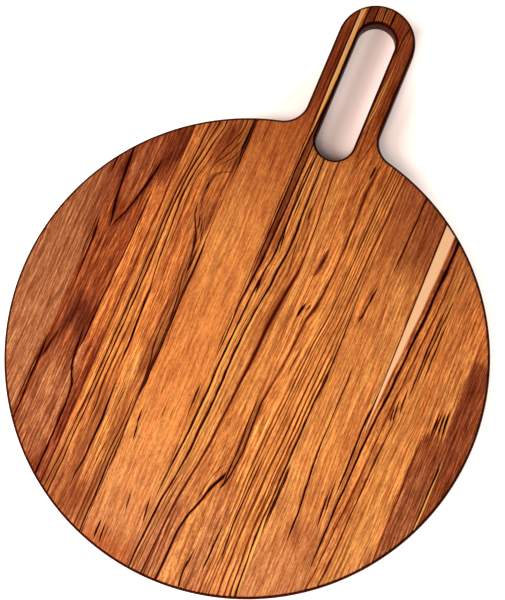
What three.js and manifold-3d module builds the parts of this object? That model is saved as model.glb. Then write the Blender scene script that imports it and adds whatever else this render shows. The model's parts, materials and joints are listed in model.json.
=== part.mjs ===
// A round serving board with a loop handle, glued up from edge-jointed teak staves.
// Millimetres, +Z up. The origin is the centre of the round, on the underside, and the handle runs along +Y.
// As in the workshop, a glued panel is shaped to one outline, so each stave and each glue film
// is the part of that outline that lies between two upright planes along Y.

import * as THREE from "three";
import { mergeVertices } from "three/addons/utils/BufferGeometryUtils.js";
import Module from "manifold-3d";

const wasm = await Module();
wasm.setup();

// The round
const BOARD_DIAMETER = 355.6;
const BOARD_THICKNESS = 16;
const EDGE_RADIUS = 3;

// The glue-up
const STAVE_WIDTH = 40;
const GLUE_THICKNESS = 0.25;

// The handle, from the rim of the round to its tip
const HANDLE_LENGTH = 107.2;
const RAIL_WIDTH = 15;
const ROOT_FILLET = 19;

// The finger slot, which lies wholly inside the centre stave
const SLOT_CHEEK = 5.4;
const SLOT_LENGTH = 112;

// How finely round edges are faceted
const LARGEST_CHORD = 8;
const LARGEST_TURN = THREE.MathUtils.degToRad(12);
const EDGE_STEPS = 4;

// The flat left on the rim between the two rounded edges, and how far the cutting slabs reach past the panel
const LEAST_RIM_FLAT = 0.5;
const SLAB_MARGIN = 10;

// Sizes that follow from those above
const boardRadius = BOARD_DIAMETER / 2;
const edgeRadius = Math.min(EDGE_RADIUS, (BOARD_THICKNESS - LEAST_RIM_FLAT) / 2);
const slotRadius = STAVE_WIDTH / 2 - SLOT_CHEEK;
const handleRadius = slotRadius + RAIL_WIDTH;
const handleTip = boardRadius + HANDLE_LENGTH;
const loopCentre = handleTip - handleRadius;
const slotFoot = handleTip - RAIL_WIDTH - SLOT_LENGTH + slotRadius;
const jointPitch = STAVE_WIDTH + GLUE_THICKNESS;
const stavesPerSide = Math.max(1, Math.round((boardRadius - STAVE_WIDTH / 2) / jointPitch));

// The root fillet ends below the round of the handle's tip
const tipReach = loopCentre ** 2 + handleRadius ** 2 - boardRadius ** 2;
const rootFillet = Math.min(ROOT_FILLET, tipReach / (2 * (boardRadius - handleRadius)));

/** Points along a circular arc, from one angle to another, with both ends and the middle among them. */
function arc(centreX, centreY, radius, startAngle, endAngle) {
  const sweep = Math.abs(endAngle - startAngle);
  const leastSteps = Math.max((sweep * radius) / LARGEST_CHORD, sweep / LARGEST_TURN);
  const steps = 2 * Math.ceil(leastSteps / 2);
  const points = [];
  for (let step = 0; step <= steps; step += 1) {
    const angle = startAngle + ((endAngle - startAngle) * step) / steps;
    points.push(new THREE.Vector2(centreX + radius * Math.cos(angle), centreY + radius * Math.sin(angle)));
  }
  return points;
}

/** The board seen from above: the round, a fillet on each side, and the handle's round-ended loop. */
function boardOutline() {
  const filletX = handleRadius + rootFillet;
  const filletY = Math.sqrt((boardRadius + rootFillet) ** 2 - filletX ** 2);
  const rootAngle = Math.atan2(filletY, filletX);
  return [
    ...arc(0, 0, boardRadius, Math.PI - rootAngle, 2 * Math.PI + rootAngle).slice(0, -1),
    ...arc(filletX, filletY, rootFillet, Math.PI + rootAngle, Math.PI),
    ...arc(0, loopCentre, handleRadius, 0, Math.PI),
    ...arc(-filletX, filletY, rootFillet, 0, -rootAngle).slice(0, -1),
  ];
}

/** The finger slot seen from above: two half circles joined by straight sides. */
function slotOutline() {
  return [
    ...arc(0, loopCentre, slotRadius, 0, Math.PI),
    ...arc(0, slotFoot, slotRadius, Math.PI, 2 * Math.PI),
  ];
}

/** A closed solid from a three.js geometry, for cutting. */
function solidOf(geometry) {
  geometry.deleteAttribute("normal");
  geometry.deleteAttribute("uv");
  const merged = mergeVertices(geometry);
  const vertProperties = new Float32Array(merged.attributes.position.array);
  const triVerts = new Uint32Array(merged.index.array);
  return new wasm.Manifold(new wasm.Mesh({ numProp: 3, vertProperties, triVerts }));
}

/** A three.js geometry from a cut solid. */
function geometryOf(solid) {
  const { vertProperties, triVerts } = solid.getMesh();
  const geometry = new THREE.BufferGeometry();
  geometry.setAttribute("position", new THREE.BufferAttribute(vertProperties, 3));
  geometry.setIndex(new THREE.BufferAttribute(triVerts, 1));
  geometry.computeVertexNormals();
  return geometry;
}

/** The shaped panel: the outline with its slot, with every edge rounded on the top and on the underside. */
function shapedPanel() {
  const shape = new THREE.Shape(boardOutline());
  shape.holes.push(new THREE.Path(slotOutline()));
  const geometry = new THREE.ExtrudeGeometry(shape, {
    depth: BOARD_THICKNESS - 2 * edgeRadius,
    bevelThickness: edgeRadius,
    bevelSize: edgeRadius,
    bevelOffset: -edgeRadius,
    bevelSegments: EDGE_STEPS,
  });
  geometry.translate(0, 0, edgeRadius);
  return solidOf(geometry);
}

/** An upright slab between two planes along Y, larger than the panel in every other direction. */
function slabBetween(fromX, toX) {
  const near = -boardRadius - SLAB_MARGIN;
  const far = handleTip + SLAB_MARGIN;
  const corners = [
    new THREE.Vector2(fromX, near),
    new THREE.Vector2(toX, near),
    new THREE.Vector2(toX, far),
    new THREE.Vector2(fromX, far),
  ];
  const depth = BOARD_THICKNESS + 2 * SLAB_MARGIN;
  const geometry = new THREE.ExtrudeGeometry(new THREE.Shape(corners), { depth, bevelEnabled: false });
  geometry.translate(0, 0, -SLAB_MARGIN);
  return solidOf(geometry);
}

/** Oiled teak in one stave's own shade. */
function teak(color) {
  return new THREE.MeshStandardMaterial({ color, roughness: 0.5, metalness: 0 });
}

const CENTRE_SHADE = 0xb9733a;
const LEFT_SHADES = [0xd28a48, 0xbe7433, 0x93582f, 0xa96b3f];
const RIGHT_SHADES = [0xbf7c40, 0xa9642f, 0xa8683a, 0xa0602f];
const glue = new THREE.MeshStandardMaterial({ color: 0x6b4122, roughness: 0.6, metalness: 0 });

const panel = shapedPanel();
const board = new THREE.Group();
const staves = new THREE.Group();
const glueLines = new THREE.Group();
board.add(staves, glueLines);

/** Adds the part of the panel between two planes along Y to a group, as a named piece. */
function addPiece(group, name, fromX, toX, material) {
  const piece = new THREE.Mesh(geometryOf(panel.intersect(slabBetween(fromX, toX))), material);
  piece.name = name;
  group.add(piece);
}

addPiece(staves, "centre_stave", -STAVE_WIDTH / 2, STAVE_WIDTH / 2, teak(CENTRE_SHADE));

for (let place = 1; place <= stavesPerSide; place += 1) {
  const glueStart = STAVE_WIDTH / 2 + (place - 1) * jointPitch;
  const staveStart = glueStart + GLUE_THICKNESS;
  // The outermost stave runs out to the rim, and every other one to the next glue film
  const isOutermost = place === stavesPerSide;
  const staveEnd = isOutermost ? boardRadius + SLAB_MARGIN : STAVE_WIDTH / 2 + place * jointPitch;
  const leftShade = LEFT_SHADES[(place - 1) % LEFT_SHADES.length];
  const rightShade = RIGHT_SHADES[(place - 1) % RIGHT_SHADES.length];
  addPiece(glueLines, `left_glue_line_${place}`, -staveStart, -glueStart, glue);
  addPiece(glueLines, `right_glue_line_${place}`, glueStart, staveStart, glue);
  addPiece(staves, `left_stave_${place}`, -staveEnd, -staveStart, teak(leftShade));
  addPiece(staves, `right_stave_${place}`, staveStart, staveEnd, teak(rightShade));
}

export default board;
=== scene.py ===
"""A round teak serving board with a loop handle: staves with their own figure, and the glue films.

Lengths are metres in the frame's axes: +Z up out of the serving face, +Y along the handle.
The drawn figure of the wood is in millimetres on the serving face, in the same axes.
"""

import json
import logging
import math
from dataclasses import dataclass
from enum import Enum
from typing import Any, Iterable

import bpy
from mathutils import Matrix, Vector

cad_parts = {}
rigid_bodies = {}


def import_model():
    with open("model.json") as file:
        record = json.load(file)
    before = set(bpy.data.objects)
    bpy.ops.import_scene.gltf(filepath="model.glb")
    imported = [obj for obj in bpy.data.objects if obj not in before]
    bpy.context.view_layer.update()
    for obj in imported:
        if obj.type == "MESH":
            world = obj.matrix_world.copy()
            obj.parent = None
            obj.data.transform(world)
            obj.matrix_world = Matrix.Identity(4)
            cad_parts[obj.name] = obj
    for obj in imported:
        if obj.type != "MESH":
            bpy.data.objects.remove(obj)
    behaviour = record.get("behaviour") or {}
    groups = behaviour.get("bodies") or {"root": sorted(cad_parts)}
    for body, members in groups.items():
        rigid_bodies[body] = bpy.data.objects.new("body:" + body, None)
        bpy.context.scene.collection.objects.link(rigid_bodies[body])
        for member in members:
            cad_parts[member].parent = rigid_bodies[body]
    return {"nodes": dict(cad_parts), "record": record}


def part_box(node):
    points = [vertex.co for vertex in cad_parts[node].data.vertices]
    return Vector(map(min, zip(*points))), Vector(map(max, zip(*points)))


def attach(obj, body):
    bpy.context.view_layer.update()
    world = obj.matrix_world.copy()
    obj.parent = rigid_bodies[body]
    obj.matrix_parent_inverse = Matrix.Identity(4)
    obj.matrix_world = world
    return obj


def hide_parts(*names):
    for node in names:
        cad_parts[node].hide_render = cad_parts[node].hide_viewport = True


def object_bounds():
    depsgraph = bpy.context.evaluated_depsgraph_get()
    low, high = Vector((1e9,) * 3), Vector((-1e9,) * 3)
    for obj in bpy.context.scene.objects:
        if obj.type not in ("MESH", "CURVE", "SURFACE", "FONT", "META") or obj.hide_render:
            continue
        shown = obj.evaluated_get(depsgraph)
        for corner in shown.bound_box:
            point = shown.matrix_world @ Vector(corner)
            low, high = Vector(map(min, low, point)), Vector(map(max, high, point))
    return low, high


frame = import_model()
CAD_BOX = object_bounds()

log = logging.getLogger("serving_board")

MM = 0.001
BODY = "root"

Place = tuple[float, float]
Point = tuple[float, float, float]
# A place on a line of the figure, and the full width of the line there.
Mark = tuple[float, float, float]
# What the input of a node takes: a socket to link it to, or a plain value.
Socket = bpy.types.NodeSocket
Value = Any


class Shade(Enum):
    """The colours of the board and its stage, as sRGB values of 0 to 255."""

    HONEY = (240, 147, 74)
    MARIGOLD = (255, 148, 73)
    AMBER = (244, 135, 66)
    COPPER = (224, 119, 56)
    RUSSET = (188, 99, 48)
    CHESTNUT = (152, 86, 50)
    MAHOGANY = (164, 84, 42)
    UMBER = (102, 61, 38)
    DUSTY = (188, 122, 76)
    # TAN: the colour of the painted sheen at the foot, also used for one paler patch.
    TAN = (192, 123, 82)
    SAPWOOD = (255, 186, 138)
    PALE = (255, 176, 84)
    BARK = (50, 17, 9)
    BLEED = (124, 44, 18)
    INK = (10, 4, 3)
    # EDGE: the painted shade of the rounded edges, and the darkest end grain.
    EDGE = (24, 9, 6)
    SHEEN = (255, 110, 70)
    GLUE_DARK = (84, 44, 22)
    GLUE_PALE = (122, 70, 36)
    FLOOR = (252, 222, 208)
    GLOW = (255, 240, 234)
    WHITE = (255, 255, 255)

    def linear(self) -> tuple[float, float, float, float]:
        """Works out the shade as Blender's colour sockets hold it.

        Returns:
            Linear red, green and blue from 0 to 1, and an alpha of 1.
        """
        channels = [channel / 255 for channel in self.value]
        red, green, blue = (
            part / 12.92 if part <= 0.04045 else ((part + 0.055) / 1.055) ** 2.4 for part in channels
        )
        return (red, green, blue, 1.0)


@dataclass(frozen=True)
class BoardSizes:
    """The board's sizes in metres.

    Attributes:
        radius: of the round.
        thickness: of the whole panel.
        tip: distance of the handle's tip from the centre of the round.
        edge_radius: of the rounded edges.
        rail_width: of the handle's loop.
        slot_radius: half the width of the finger slot.
        slot_length: of the finger slot, end to end.
        root_fillet: radius where the handle runs into the round.
        outline_step: length of a facet along the outline.
        fewest_steps: facets along even the shortest arc.
        edge_steps: facets across one rounded edge.
        edge_lead: flat strip that keeps the shading of a face flat up to its rounded edge.
    """

    radius: float
    thickness: float
    tip: float
    edge_radius: float = 3 * MM
    rail_width: float = 15 * MM
    slot_radius: float = 14.6 * MM
    slot_length: float = 112 * MM
    root_fillet: float = 19 * MM
    outline_step: float = 1.6 * MM
    fewest_steps: int = 8
    edge_steps: int = 9
    edge_lead: float = 0.4 * MM

    @classmethod
    def from_frame(cls) -> "BoardSizes":
        """The sizes, with the round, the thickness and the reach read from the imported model."""
        low, high = CAD_BOX
        return cls(radius=-low[1], thickness=high[2], tip=high[1])

    @property
    def handle_radius(self) -> float:
        """Half the width of the handle, and the radius of its round tip."""
        return self.slot_radius + self.rail_width

    @property
    def loop_centre(self) -> float:
        """Where the round of the tip and the far end of the slot have their centre, along Y."""
        return self.tip - self.handle_radius

    @property
    def slot_foot(self) -> float:
        """Where the near end of the slot has its centre, along Y."""
        return self.tip - self.rail_width - self.slot_length + self.slot_radius


@dataclass(frozen=True)
class Outline:
    """The board seen from above, as closed paths that the moulded edge follows.

    Attributes:
        sizes: the board's sizes.
    """

    sizes: BoardSizes

    def arc(self, centre: Place, radius: float, start: float, end: float) -> list[Place]:
        """Points along a circular arc, both ends included.

        Args:
            centre: of the circle.
            radius: of the circle.
            start: first angle, in radians.
            end: last angle, in radians.

        Returns:
            The points in order.
        """
        length = abs(end - start) * radius
        steps = max(self.sizes.fewest_steps, math.ceil(length / self.sizes.outline_step))
        angles = (start + (end - start) * step / steps for step in range(steps + 1))
        x, y = centre
        return [(x + radius * math.cos(angle), y + radius * math.sin(angle)) for angle in angles]

    def board(self) -> list[Place]:
        """The round, a fillet on each side, and the handle's round tip.

        Returns:
            The points, counter-clockwise.
        """
        size = self.sizes
        fillet_x = size.handle_radius + size.root_fillet
        fillet_y = math.sqrt((size.radius + size.root_fillet) ** 2 - fillet_x**2)
        root = math.atan2(fillet_y, fillet_x)
        points = self.arc((0, 0), size.radius, math.pi - root, 2 * math.pi + root)[:-1]
        points += self.arc((fillet_x, fillet_y), size.root_fillet, math.pi + root, math.pi)
        points += self.arc((0, size.loop_centre), size.handle_radius, 0, math.pi)
        points += self.arc((-fillet_x, fillet_y), size.root_fillet, 0, -root)[:-1]
        return points

    def slot(self) -> list[Place]:
        """The finger slot, drawn so that its outer side is the opening.

        Returns:
            The points, clockwise.
        """
        size = self.sizes
        points = self.arc((0, size.slot_foot), size.slot_radius, 2 * math.pi, math.pi)
        points += self.arc((0, size.loop_centre), size.slot_radius, math.pi, 0)
        return points

    def curve_object(self) -> bpy.types.Object:
        """Makes both paths into one curve object.

        Returns:
            The object, which stays out of the scene.
        """
        curve = bpy.data.curves.new("board_outline", "CURVE")
        curve.dimensions = "3D"
        for points in (self.board(), self.slot()):
            spline = curve.splines.new("POLY")
            spline.points.add(len(points) - 1)
            for point, (x, y) in zip(spline.points, points):
                point.co = (x, y, 0, 1)
            spline.use_cyclic_u = True
        return bpy.data.objects.new("board_outline", curve)


class Sketch:
    """Adds nodes to a node tree and links them, so that a tree reads as a list of steps."""

    def __init__(self, tree: bpy.types.NodeTree) -> None:
        """Keeps the tree that the nodes go into."""
        self.tree = tree

    def add(self, kind: str, inputs: dict[Any, Value] | None = None, **settings: Any) -> bpy.types.Node:
        """Adds one node.

        Args:
            kind: Blender's name for the node type.
            inputs: values or sockets for the node's inputs, by name or by index.
            settings: the node's own properties.

        Returns:
            The new node.
        """
        node = self.tree.nodes.new(kind)
        for name, setting in settings.items():
            setattr(node, name, setting)
        for key, value in (inputs or {}).items():
            self.feed(node.inputs[key], value)
        return node

    def feed(self, socket: Socket, value: Value) -> None:
        """Links an input to a socket, or sets the input's own value.

        Args:
            socket: the input.
            value: the socket to link it to, or the plain value.
        """
        if isinstance(value, Socket):
            self.tree.links.new(value, socket)
        else:
            socket.default_value = value

    def math(self, operation: str, *inputs: Value) -> Socket:
        """One arithmetic step between values or sockets."""
        return self.add("ShaderNodeMath", dict(enumerate(inputs)), operation=operation).outputs[0]


class StaveTree(Sketch):
    """The geometry-node tree that moulds the panel's edge along its outline and slices a piece from it.

    Attributes:
        ids: Blender's identifier of each input, by its name.
        given: the sockets that the inputs come from.
    """

    INPUTS = {
        "Outline": "NodeSocketObject",
        "Thickness": "NodeSocketFloat",
        "Edge Radius": "NodeSocketFloat",
        "Edge Lead": "NodeSocketFloat",
        "Edge Steps": "NodeSocketInt",
        "Left Plane": "NodeSocketFloat",
        "Right Plane": "NodeSocketFloat",
        "Material": "NodeSocketMaterial",
    }
    # The slab that slices a piece is larger than the board, and edges closer than the weld become one.
    SLAB_REACH = 2.0
    WELD = 2e-6
    # An edge with fewer faces than this is open, and one bent more sharply than the crease stays sharp.
    CLOSED = 1.5
    CREASE = math.radians(40)

    def __init__(self) -> None:
        """Builds the tree."""
        super().__init__(bpy.data.node_groups.new("stave_from_panel", "GeometryNodeTree"))
        sockets = self.tree.interface
        sockets.new_socket("Geometry", in_out="INPUT", socket_type="NodeSocketGeometry")
        self.ids = {
            name: sockets.new_socket(name, in_out="INPUT", socket_type=kind).identifier
            for name, kind in self.INPUTS.items()
        }
        sockets.new_socket("Geometry", in_out="OUTPUT", socket_type="NodeSocketGeometry")
        self.given = self.add("NodeGroupInput").outputs
        self.finish(self.sliced(self.panel()))

    def section(self) -> Socket:
        """The edge's section: over the top, round, down the rim, round, and back along the underside.

        Returns:
            The section as a curve, with X outwards and Y downwards.
        """
        inset = self.math("ADD", self.given["Edge Radius"], self.given["Edge Lead"])
        back = self.math("MULTIPLY", inset, -1.0)
        down = self.math("MULTIPLY", self.given["Thickness"], -1.0)
        corners = [
            self.add("ShaderNodeCombineXYZ", {"X": back, "Y": down}),
            self.add("ShaderNodeCombineXYZ", {"Y": down}),
            self.add("ShaderNodeCombineXYZ"),
            self.add("ShaderNodeCombineXYZ", {"X": back}),
        ]
        pick = self.add("GeometryNodeIndexSwitch", data_type="VECTOR")
        for _ in corners[2:]:
            pick.index_switch_items.new()
        self.feed(pick.inputs["Index"], self.add("GeometryNodeInputIndex").outputs[0])
        for place, corner in enumerate(corners):
            self.feed(pick.inputs[str(place)], corner.outputs[0])
        line = self.add("GeometryNodeMeshLine", {"Count": len(corners)})
        bent = self.add(
            "GeometryNodeSetPosition", {"Geometry": line.outputs[0], "Position": pick.outputs[0]}
        )
        path = self.add("GeometryNodeMeshToCurve", {"Mesh": bent.outputs[0]})
        radius, steps = self.given["Edge Radius"], self.given["Edge Steps"]
        rounded = self.add(
            "GeometryNodeFilletCurve",
            {"Curve": path.outputs[0], "Radius": radius, "Count": steps},
            mode="POLY",
        )
        return rounded.outputs[0]

    def panel(self) -> Socket:
        """The whole panel: the section swept along the outline, and a flat face above and below.

        Returns:
            The closed panel.
        """
        add = self.add
        outline = add("GeometryNodeObjectInfo", {"Object": self.given["Outline"]}).outputs["Geometry"]
        upright = add("GeometryNodeSetCurveNormal", {"Curve": outline}, mode="Z_UP").outputs[0]
        profile = self.section()
        swept = add("GeometryNodeCurveToMesh", {"Curve": upright, "Profile Curve": profile}).outputs[0]
        faces = add("GeometryNodeInputMeshEdgeNeighbors").outputs[0]
        open_edge = self.math("LESS_THAN", faces, self.CLOSED)
        place = add("GeometryNodeInputPosition").outputs[0]
        height = add("ShaderNodeSeparateXYZ", {0: place}).outputs["Z"]
        middle = self.math("MULTIPLY", self.given["Thickness"], 0.5)
        upper = self.math("GREATER_THAN", height, middle)
        chosen = self.math("MULTIPLY", open_edge, upper)
        rim = add("GeometryNodeMeshToCurve", {"Mesh": swept, "Selection": chosen}).outputs[0]
        flat = add("GeometryNodeFillCurve", {"Curve": rim}, mode="NGONS").outputs[0]
        lift = add("ShaderNodeCombineXYZ", {"Z": self.given["Thickness"]}).outputs[0]
        top = add("GeometryNodeTransform", {"Geometry": flat, "Translation": lift}).outputs[0]
        under = add("GeometryNodeFlipFaces", {"Mesh": flat}).outputs[0]
        joined = add("GeometryNodeJoinGeometry")
        for part in (swept, top, under):
            self.tree.links.new(part, joined.inputs[0])
        welded = {"Geometry": joined.outputs[0], "Distance": self.WELD}
        return add("GeometryNodeMergeByDistance", welded).outputs[0]

    def sliced(self, panel: Socket) -> Socket:
        """The part of the panel between the two planes.

        Args:
            panel: the whole panel.

        Returns:
            The piece, closed where it is sawn.
        """
        add = self.add
        left, right = self.given["Left Plane"], self.given["Right Plane"]
        width = self.math("SUBTRACT", right, left)
        middle = self.math("MULTIPLY", self.math("ADD", right, left), 0.5)
        reach = self.SLAB_REACH
        size = add("ShaderNodeCombineXYZ", {"X": width, "Y": reach, "Z": reach}).outputs[0]
        place = add("ShaderNodeCombineXYZ", {"X": middle}).outputs[0]
        slab = add("GeometryNodeMeshCube", {"Size": size}).outputs[0]
        placed = add("GeometryNodeTransform", {"Geometry": slab, "Translation": place}).outputs[0]
        cut = add("GeometryNodeMeshBoolean", operation="INTERSECT", solver="EXACT")
        for part in (panel, placed):
            self.tree.links.new(part, cut.inputs["Mesh 2"])
        return cut.outputs[0]

    def finish(self, piece: Socket) -> None:
        """Shades the round edges smooth and the sawn ones sharp, and sets the material.

        Args:
            piece: the sliced piece.
        """
        smooth = self.add("GeometryNodeSetShadeSmooth", {"Geometry": piece}, domain="FACE").outputs[0]
        angle = self.add("GeometryNodeInputMeshEdgeAngle").outputs[0]
        crease = self.math("GREATER_THAN", angle, self.CREASE)
        creased = self.add(
            "GeometryNodeSetShadeSmooth",
            {"Geometry": smooth, "Selection": crease, "Shade Smooth": False},
            domain="EDGE",
        ).outputs[0]
        real = self.add("GeometryNodeRealizeInstances", {"Geometry": creased}).outputs[0]
        material = self.given["Material"]
        dressed = self.add("GeometryNodeSetMaterial", {"Geometry": real, "Material": material})
        self.add("NodeGroupOutput", {0: dressed.outputs[0]})

    def make(self, name: str, sizes: BoardSizes, outline: bpy.types.Object, planes: Place,
             material: bpy.types.Material) -> bpy.types.Object:
        """One piece of the board as a plain mesh object at the origin.

        Args:
            name: of the new object.
            sizes: the board's sizes.
            outline: the curve object that holds the board's paths.
            planes: where the piece starts and ends, along X.
            material: its finish.

        Returns:
            The object, linked to the scene.
        """
        seed = bpy.data.objects.new(f"{name}_tree", bpy.data.meshes.new(f"{name}_tree"))
        bpy.context.scene.collection.objects.link(seed)
        modifier = seed.modifiers.new("stave_from_panel", "NODES")
        modifier.node_group = self.tree
        values = {
            "Outline": outline,
            "Thickness": sizes.thickness,
            "Edge Radius": sizes.edge_radius,
            "Edge Lead": sizes.edge_lead,
            "Edge Steps": sizes.edge_steps,
            "Left Plane": planes[0],
            "Right Plane": planes[1],
            "Material": material,
        }
        for key, value in values.items():
            modifier[self.ids[key]] = value
        graph = bpy.context.evaluated_depsgraph_get()
        mesh = bpy.data.meshes.new_from_object(seed.evaluated_get(graph), depsgraph=graph)
        mesh.name = name
        bpy.data.objects.remove(seed)
        piece = bpy.data.objects.new(name, mesh)
        bpy.context.scene.collection.objects.link(piece)
        return piece


@dataclass(frozen=True)
class Grain:
    """One layer of random grain.

    Attributes:
        cells: noise cells in each millimetre across, along and through the wood.
        seed: moves the pattern, so that no two layers share it.
        detail: octaves of finer noise.
        roughness: how strong the finer octaves are.
        ends: the noise that counts as the lowest and as the highest.
        swing: how much of a stave's contrast the lowest takes away and the highest adds.
    """

    cells: Point
    seed: float = 0.0
    detail: float = 2.0
    roughness: float = 0.5
    ends: Place = (0.35, 0.65)
    swing: Place = (1.0, 1.0)


class FinishSketch(Sketch):
    """A material's node tree, with the steps that the finishes share."""

    def __init__(self, name: str) -> None:
        """Starts a material with an empty tree.

        Args:
            name: of the material.
        """
        self.material = bpy.data.materials.new(name)
        self.material.use_nodes = True
        super().__init__(self.material.node_tree)
        self.tree.nodes.clear()

    def ranged(self, value: Value, start: Value, end: Value, low: Value = 0.0, high: Value = 1.0,
               smooth: bool = False) -> Socket:
        """A value moved from one range to another, and held inside it.

        Args:
            value: the value to move.
            start: what becomes low.
            end: what becomes high.
            low: the first end of the new range.
            high: the other end of the new range.
            smooth: whether the change eases in and out.

        Returns:
            The moved value.
        """
        node = self.add(
            "ShaderNodeMapRange",
            {0: value, 1: start, 2: end, 3: low, 4: high},
            interpolation_type="SMOOTHSTEP" if smooth else "LINEAR",
        )
        return node.outputs[0]

    def apart(self, first: Value, second: Value) -> Socket:
        """How far two values are from each other."""
        return self.math("ABSOLUTE", self.math("SUBTRACT", first, second))

    def mixed(self, share: Value, first: Value, second: Value) -> Socket:
        """A colour that goes from the first to the second as share goes from 0 to 1."""
        return self.add("ShaderNodeMix", {0: share, 6: first, 7: second}, data_type="RGBA").outputs[2]

    def scaled(self, vector: Value, factor: Value) -> Socket:
        """A vector made longer or shorter, or a colour made brighter or darker."""
        node = self.add("ShaderNodeVectorMath", {0: vector, "Scale": factor}, operation="SCALE")
        return node.outputs[0]

    def drawn(self, label: str, along: Value, points: Iterable[Place]) -> Socket:
        """A smooth curve through points whose two numbers are both from 0 to 1.

        Args:
            label: what the curve stands for.
            along: where on the curve to read it.
            points: the curve's points, in order.

        Returns:
            The curve's height there.
        """
        node = self.add("ShaderNodeFloatCurve", {"Value": along}, label=label)
        curve = node.mapping.curves[0]
        ready = len(curve.points)
        for place, (at, height) in enumerate(points):
            if place < ready:
                curve.points[place].location = (at, height)
            else:
                curve.points.new(at, height)
        for point in curve.points:
            point.handle_type = "AUTO_CLAMPED"
        node.mapping.extend = "HORIZONTAL"
        node.mapping.update()
        return node.outputs[0]

    def noise(self, vector: Value, grain: Grain, seed: float = 0.0) -> Socket:
        """Fractal noise on a stretched vector.

        Args:
            vector: the place to read it at, in millimetres.
            grain: the layer of grain.
            seed: moves the pattern once more, so that no two pieces share it.

        Returns:
            The noise, about 0.5 on average.
        """
        shift = (0.0, 0.0, seed + grain.seed)
        stretch = {"Vector": vector, "Location": shift, "Scale": grain.cells}
        placed = self.add("ShaderNodeMapping", stretch)
        node = self.add(
            "ShaderNodeTexNoise",
            {
                "Vector": placed.outputs[0],
                "Scale": 1.0,
                "Detail": grain.detail,
                "Roughness": grain.roughness,
            },
        )
        return node.outputs["Fac"]

    def place_mm(self) -> Socket:
        """The place on the piece, in millimetres of the frame."""
        return self.scaled(self.add("ShaderNodeTexCoord").outputs["Object"], 1 / MM)

    def split(self, vector: Value) -> tuple[Socket, ...]:
        """The three parts of a vector."""
        return tuple(self.add("ShaderNodeSeparateXYZ", {0: vector}).outputs)

    def joined(self, x: Value, y: Value, z: Value) -> Socket:
        """A vector, or a colour, from its three parts."""
        return self.add("ShaderNodeCombineXYZ", {"X": x, "Y": y, "Z": z}).outputs[0]

    def shine(self, colour: Value, roughness: Value, height: Value, depth_mm: float,
              specular: float) -> None:
        """Ends the tree in a surface.

        Args:
            colour: of the surface.
            roughness: of its gloss.
            height: relief, from 0 to 1.
            depth_mm: what a relief of 1 measures.
            specular: how strongly it reflects.
        """
        depth = depth_mm * MM
        relief = self.add("ShaderNodeBump", {"Height": height, "Strength": 1.0, "Distance": depth})
        surface = self.add(
            "ShaderNodeBsdfPrincipled",
            {
                "Base Color": colour,
                "Roughness": roughness,
                "Normal": relief.outputs[0],
                "Specular IOR Level": specular,
                "Specular Tint": Shade.SHEEN.linear(),
            },
        )
        self.add("ShaderNodeOutputMaterial", {"Surface": surface.outputs[0]})


@dataclass(frozen=True)
class Streak:
    """A line in the figure of a stave.

    Attributes:
        name: what the line is.
        marks: places along the line, from the handle's end to the foot, each with its full width there.
        shade: the colour that the line goes to.
        depth: how far it goes there, from 0 to 1.
        core: the share of its width that has the full colour, before it fades out.
        leads: whether the grain beside it runs along it.
    """

    name: str
    marks: tuple[Mark, ...]
    shade: Shade = Shade.INK
    depth: float = 0.99
    core: float = 0.4
    leads: bool = False

    @property
    def widest(self) -> float:
        """The line's greatest width."""
        return max(width for _, _, width in self.marks)

    @property
    def middle(self) -> float:
        """Where the line runs across the stave, on average."""
        return sum(x for x, _, _ in self.marks) / len(self.marks)


@dataclass(frozen=True)
class Patch:
    """An area of another tone in the figure of a stave, with soft sides and ends that run out.

    Attributes:
        centre: of the area.
        half: half its width and half its length.
        shade: the colour that the area goes to.
        depth: how far it goes there, from 0 to 1.
        soft: how wide its sides are blurred, and how long its ends.
        ragged: how far its ends run out along the grain.
    """

    centre: Place
    half: Place
    shade: Shade
    depth: float = 0.6
    soft: Place = (3.0, 14.0)
    ragged: float = 10.0


@dataclass(frozen=True)
class Rings:
    """Growth rings that show as close dark lines along part of a stave.

    Attributes:
        left: where they start, across the stave.
        right: where they end.
        spacing: from one to the next.
        width: of a line.
        depth: how dark a line is, from 0 to 1.
    """

    left: float
    right: float
    spacing: float = 3.0
    width: float = 1.5
    depth: float = 0.75


@dataclass(frozen=True)
class TeakFinish:
    """The oiled teak of one stave: its tones, the figure drawn on it, and the fine grain between.

    Attributes:
        light: the tone between growth bands.
        dark: the tone of the growth bands.
        bands: how far the bands go to the dark tone.
        mottle: how strongly the fine grain varies.
        lean: how far the growth rings lean sideways on their way down through the board.
        seed: moves the random grain.
        halo: how pale the wood is beside a dark line.
        rings: the parts with close dark lines.
        patches: the areas of another tone.
        streaks: the single lines.
    """

    light: Shade
    dark: Shade
    bands: float = 0.7
    mottle: float = 0.3
    lean: float = 0.5
    seed: float = 0.0
    halo: float = 0.0
    rings: tuple[Rings, ...] = ()
    patches: tuple[Patch, ...] = ()
    streaks: tuple[Streak, ...] = ()


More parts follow.
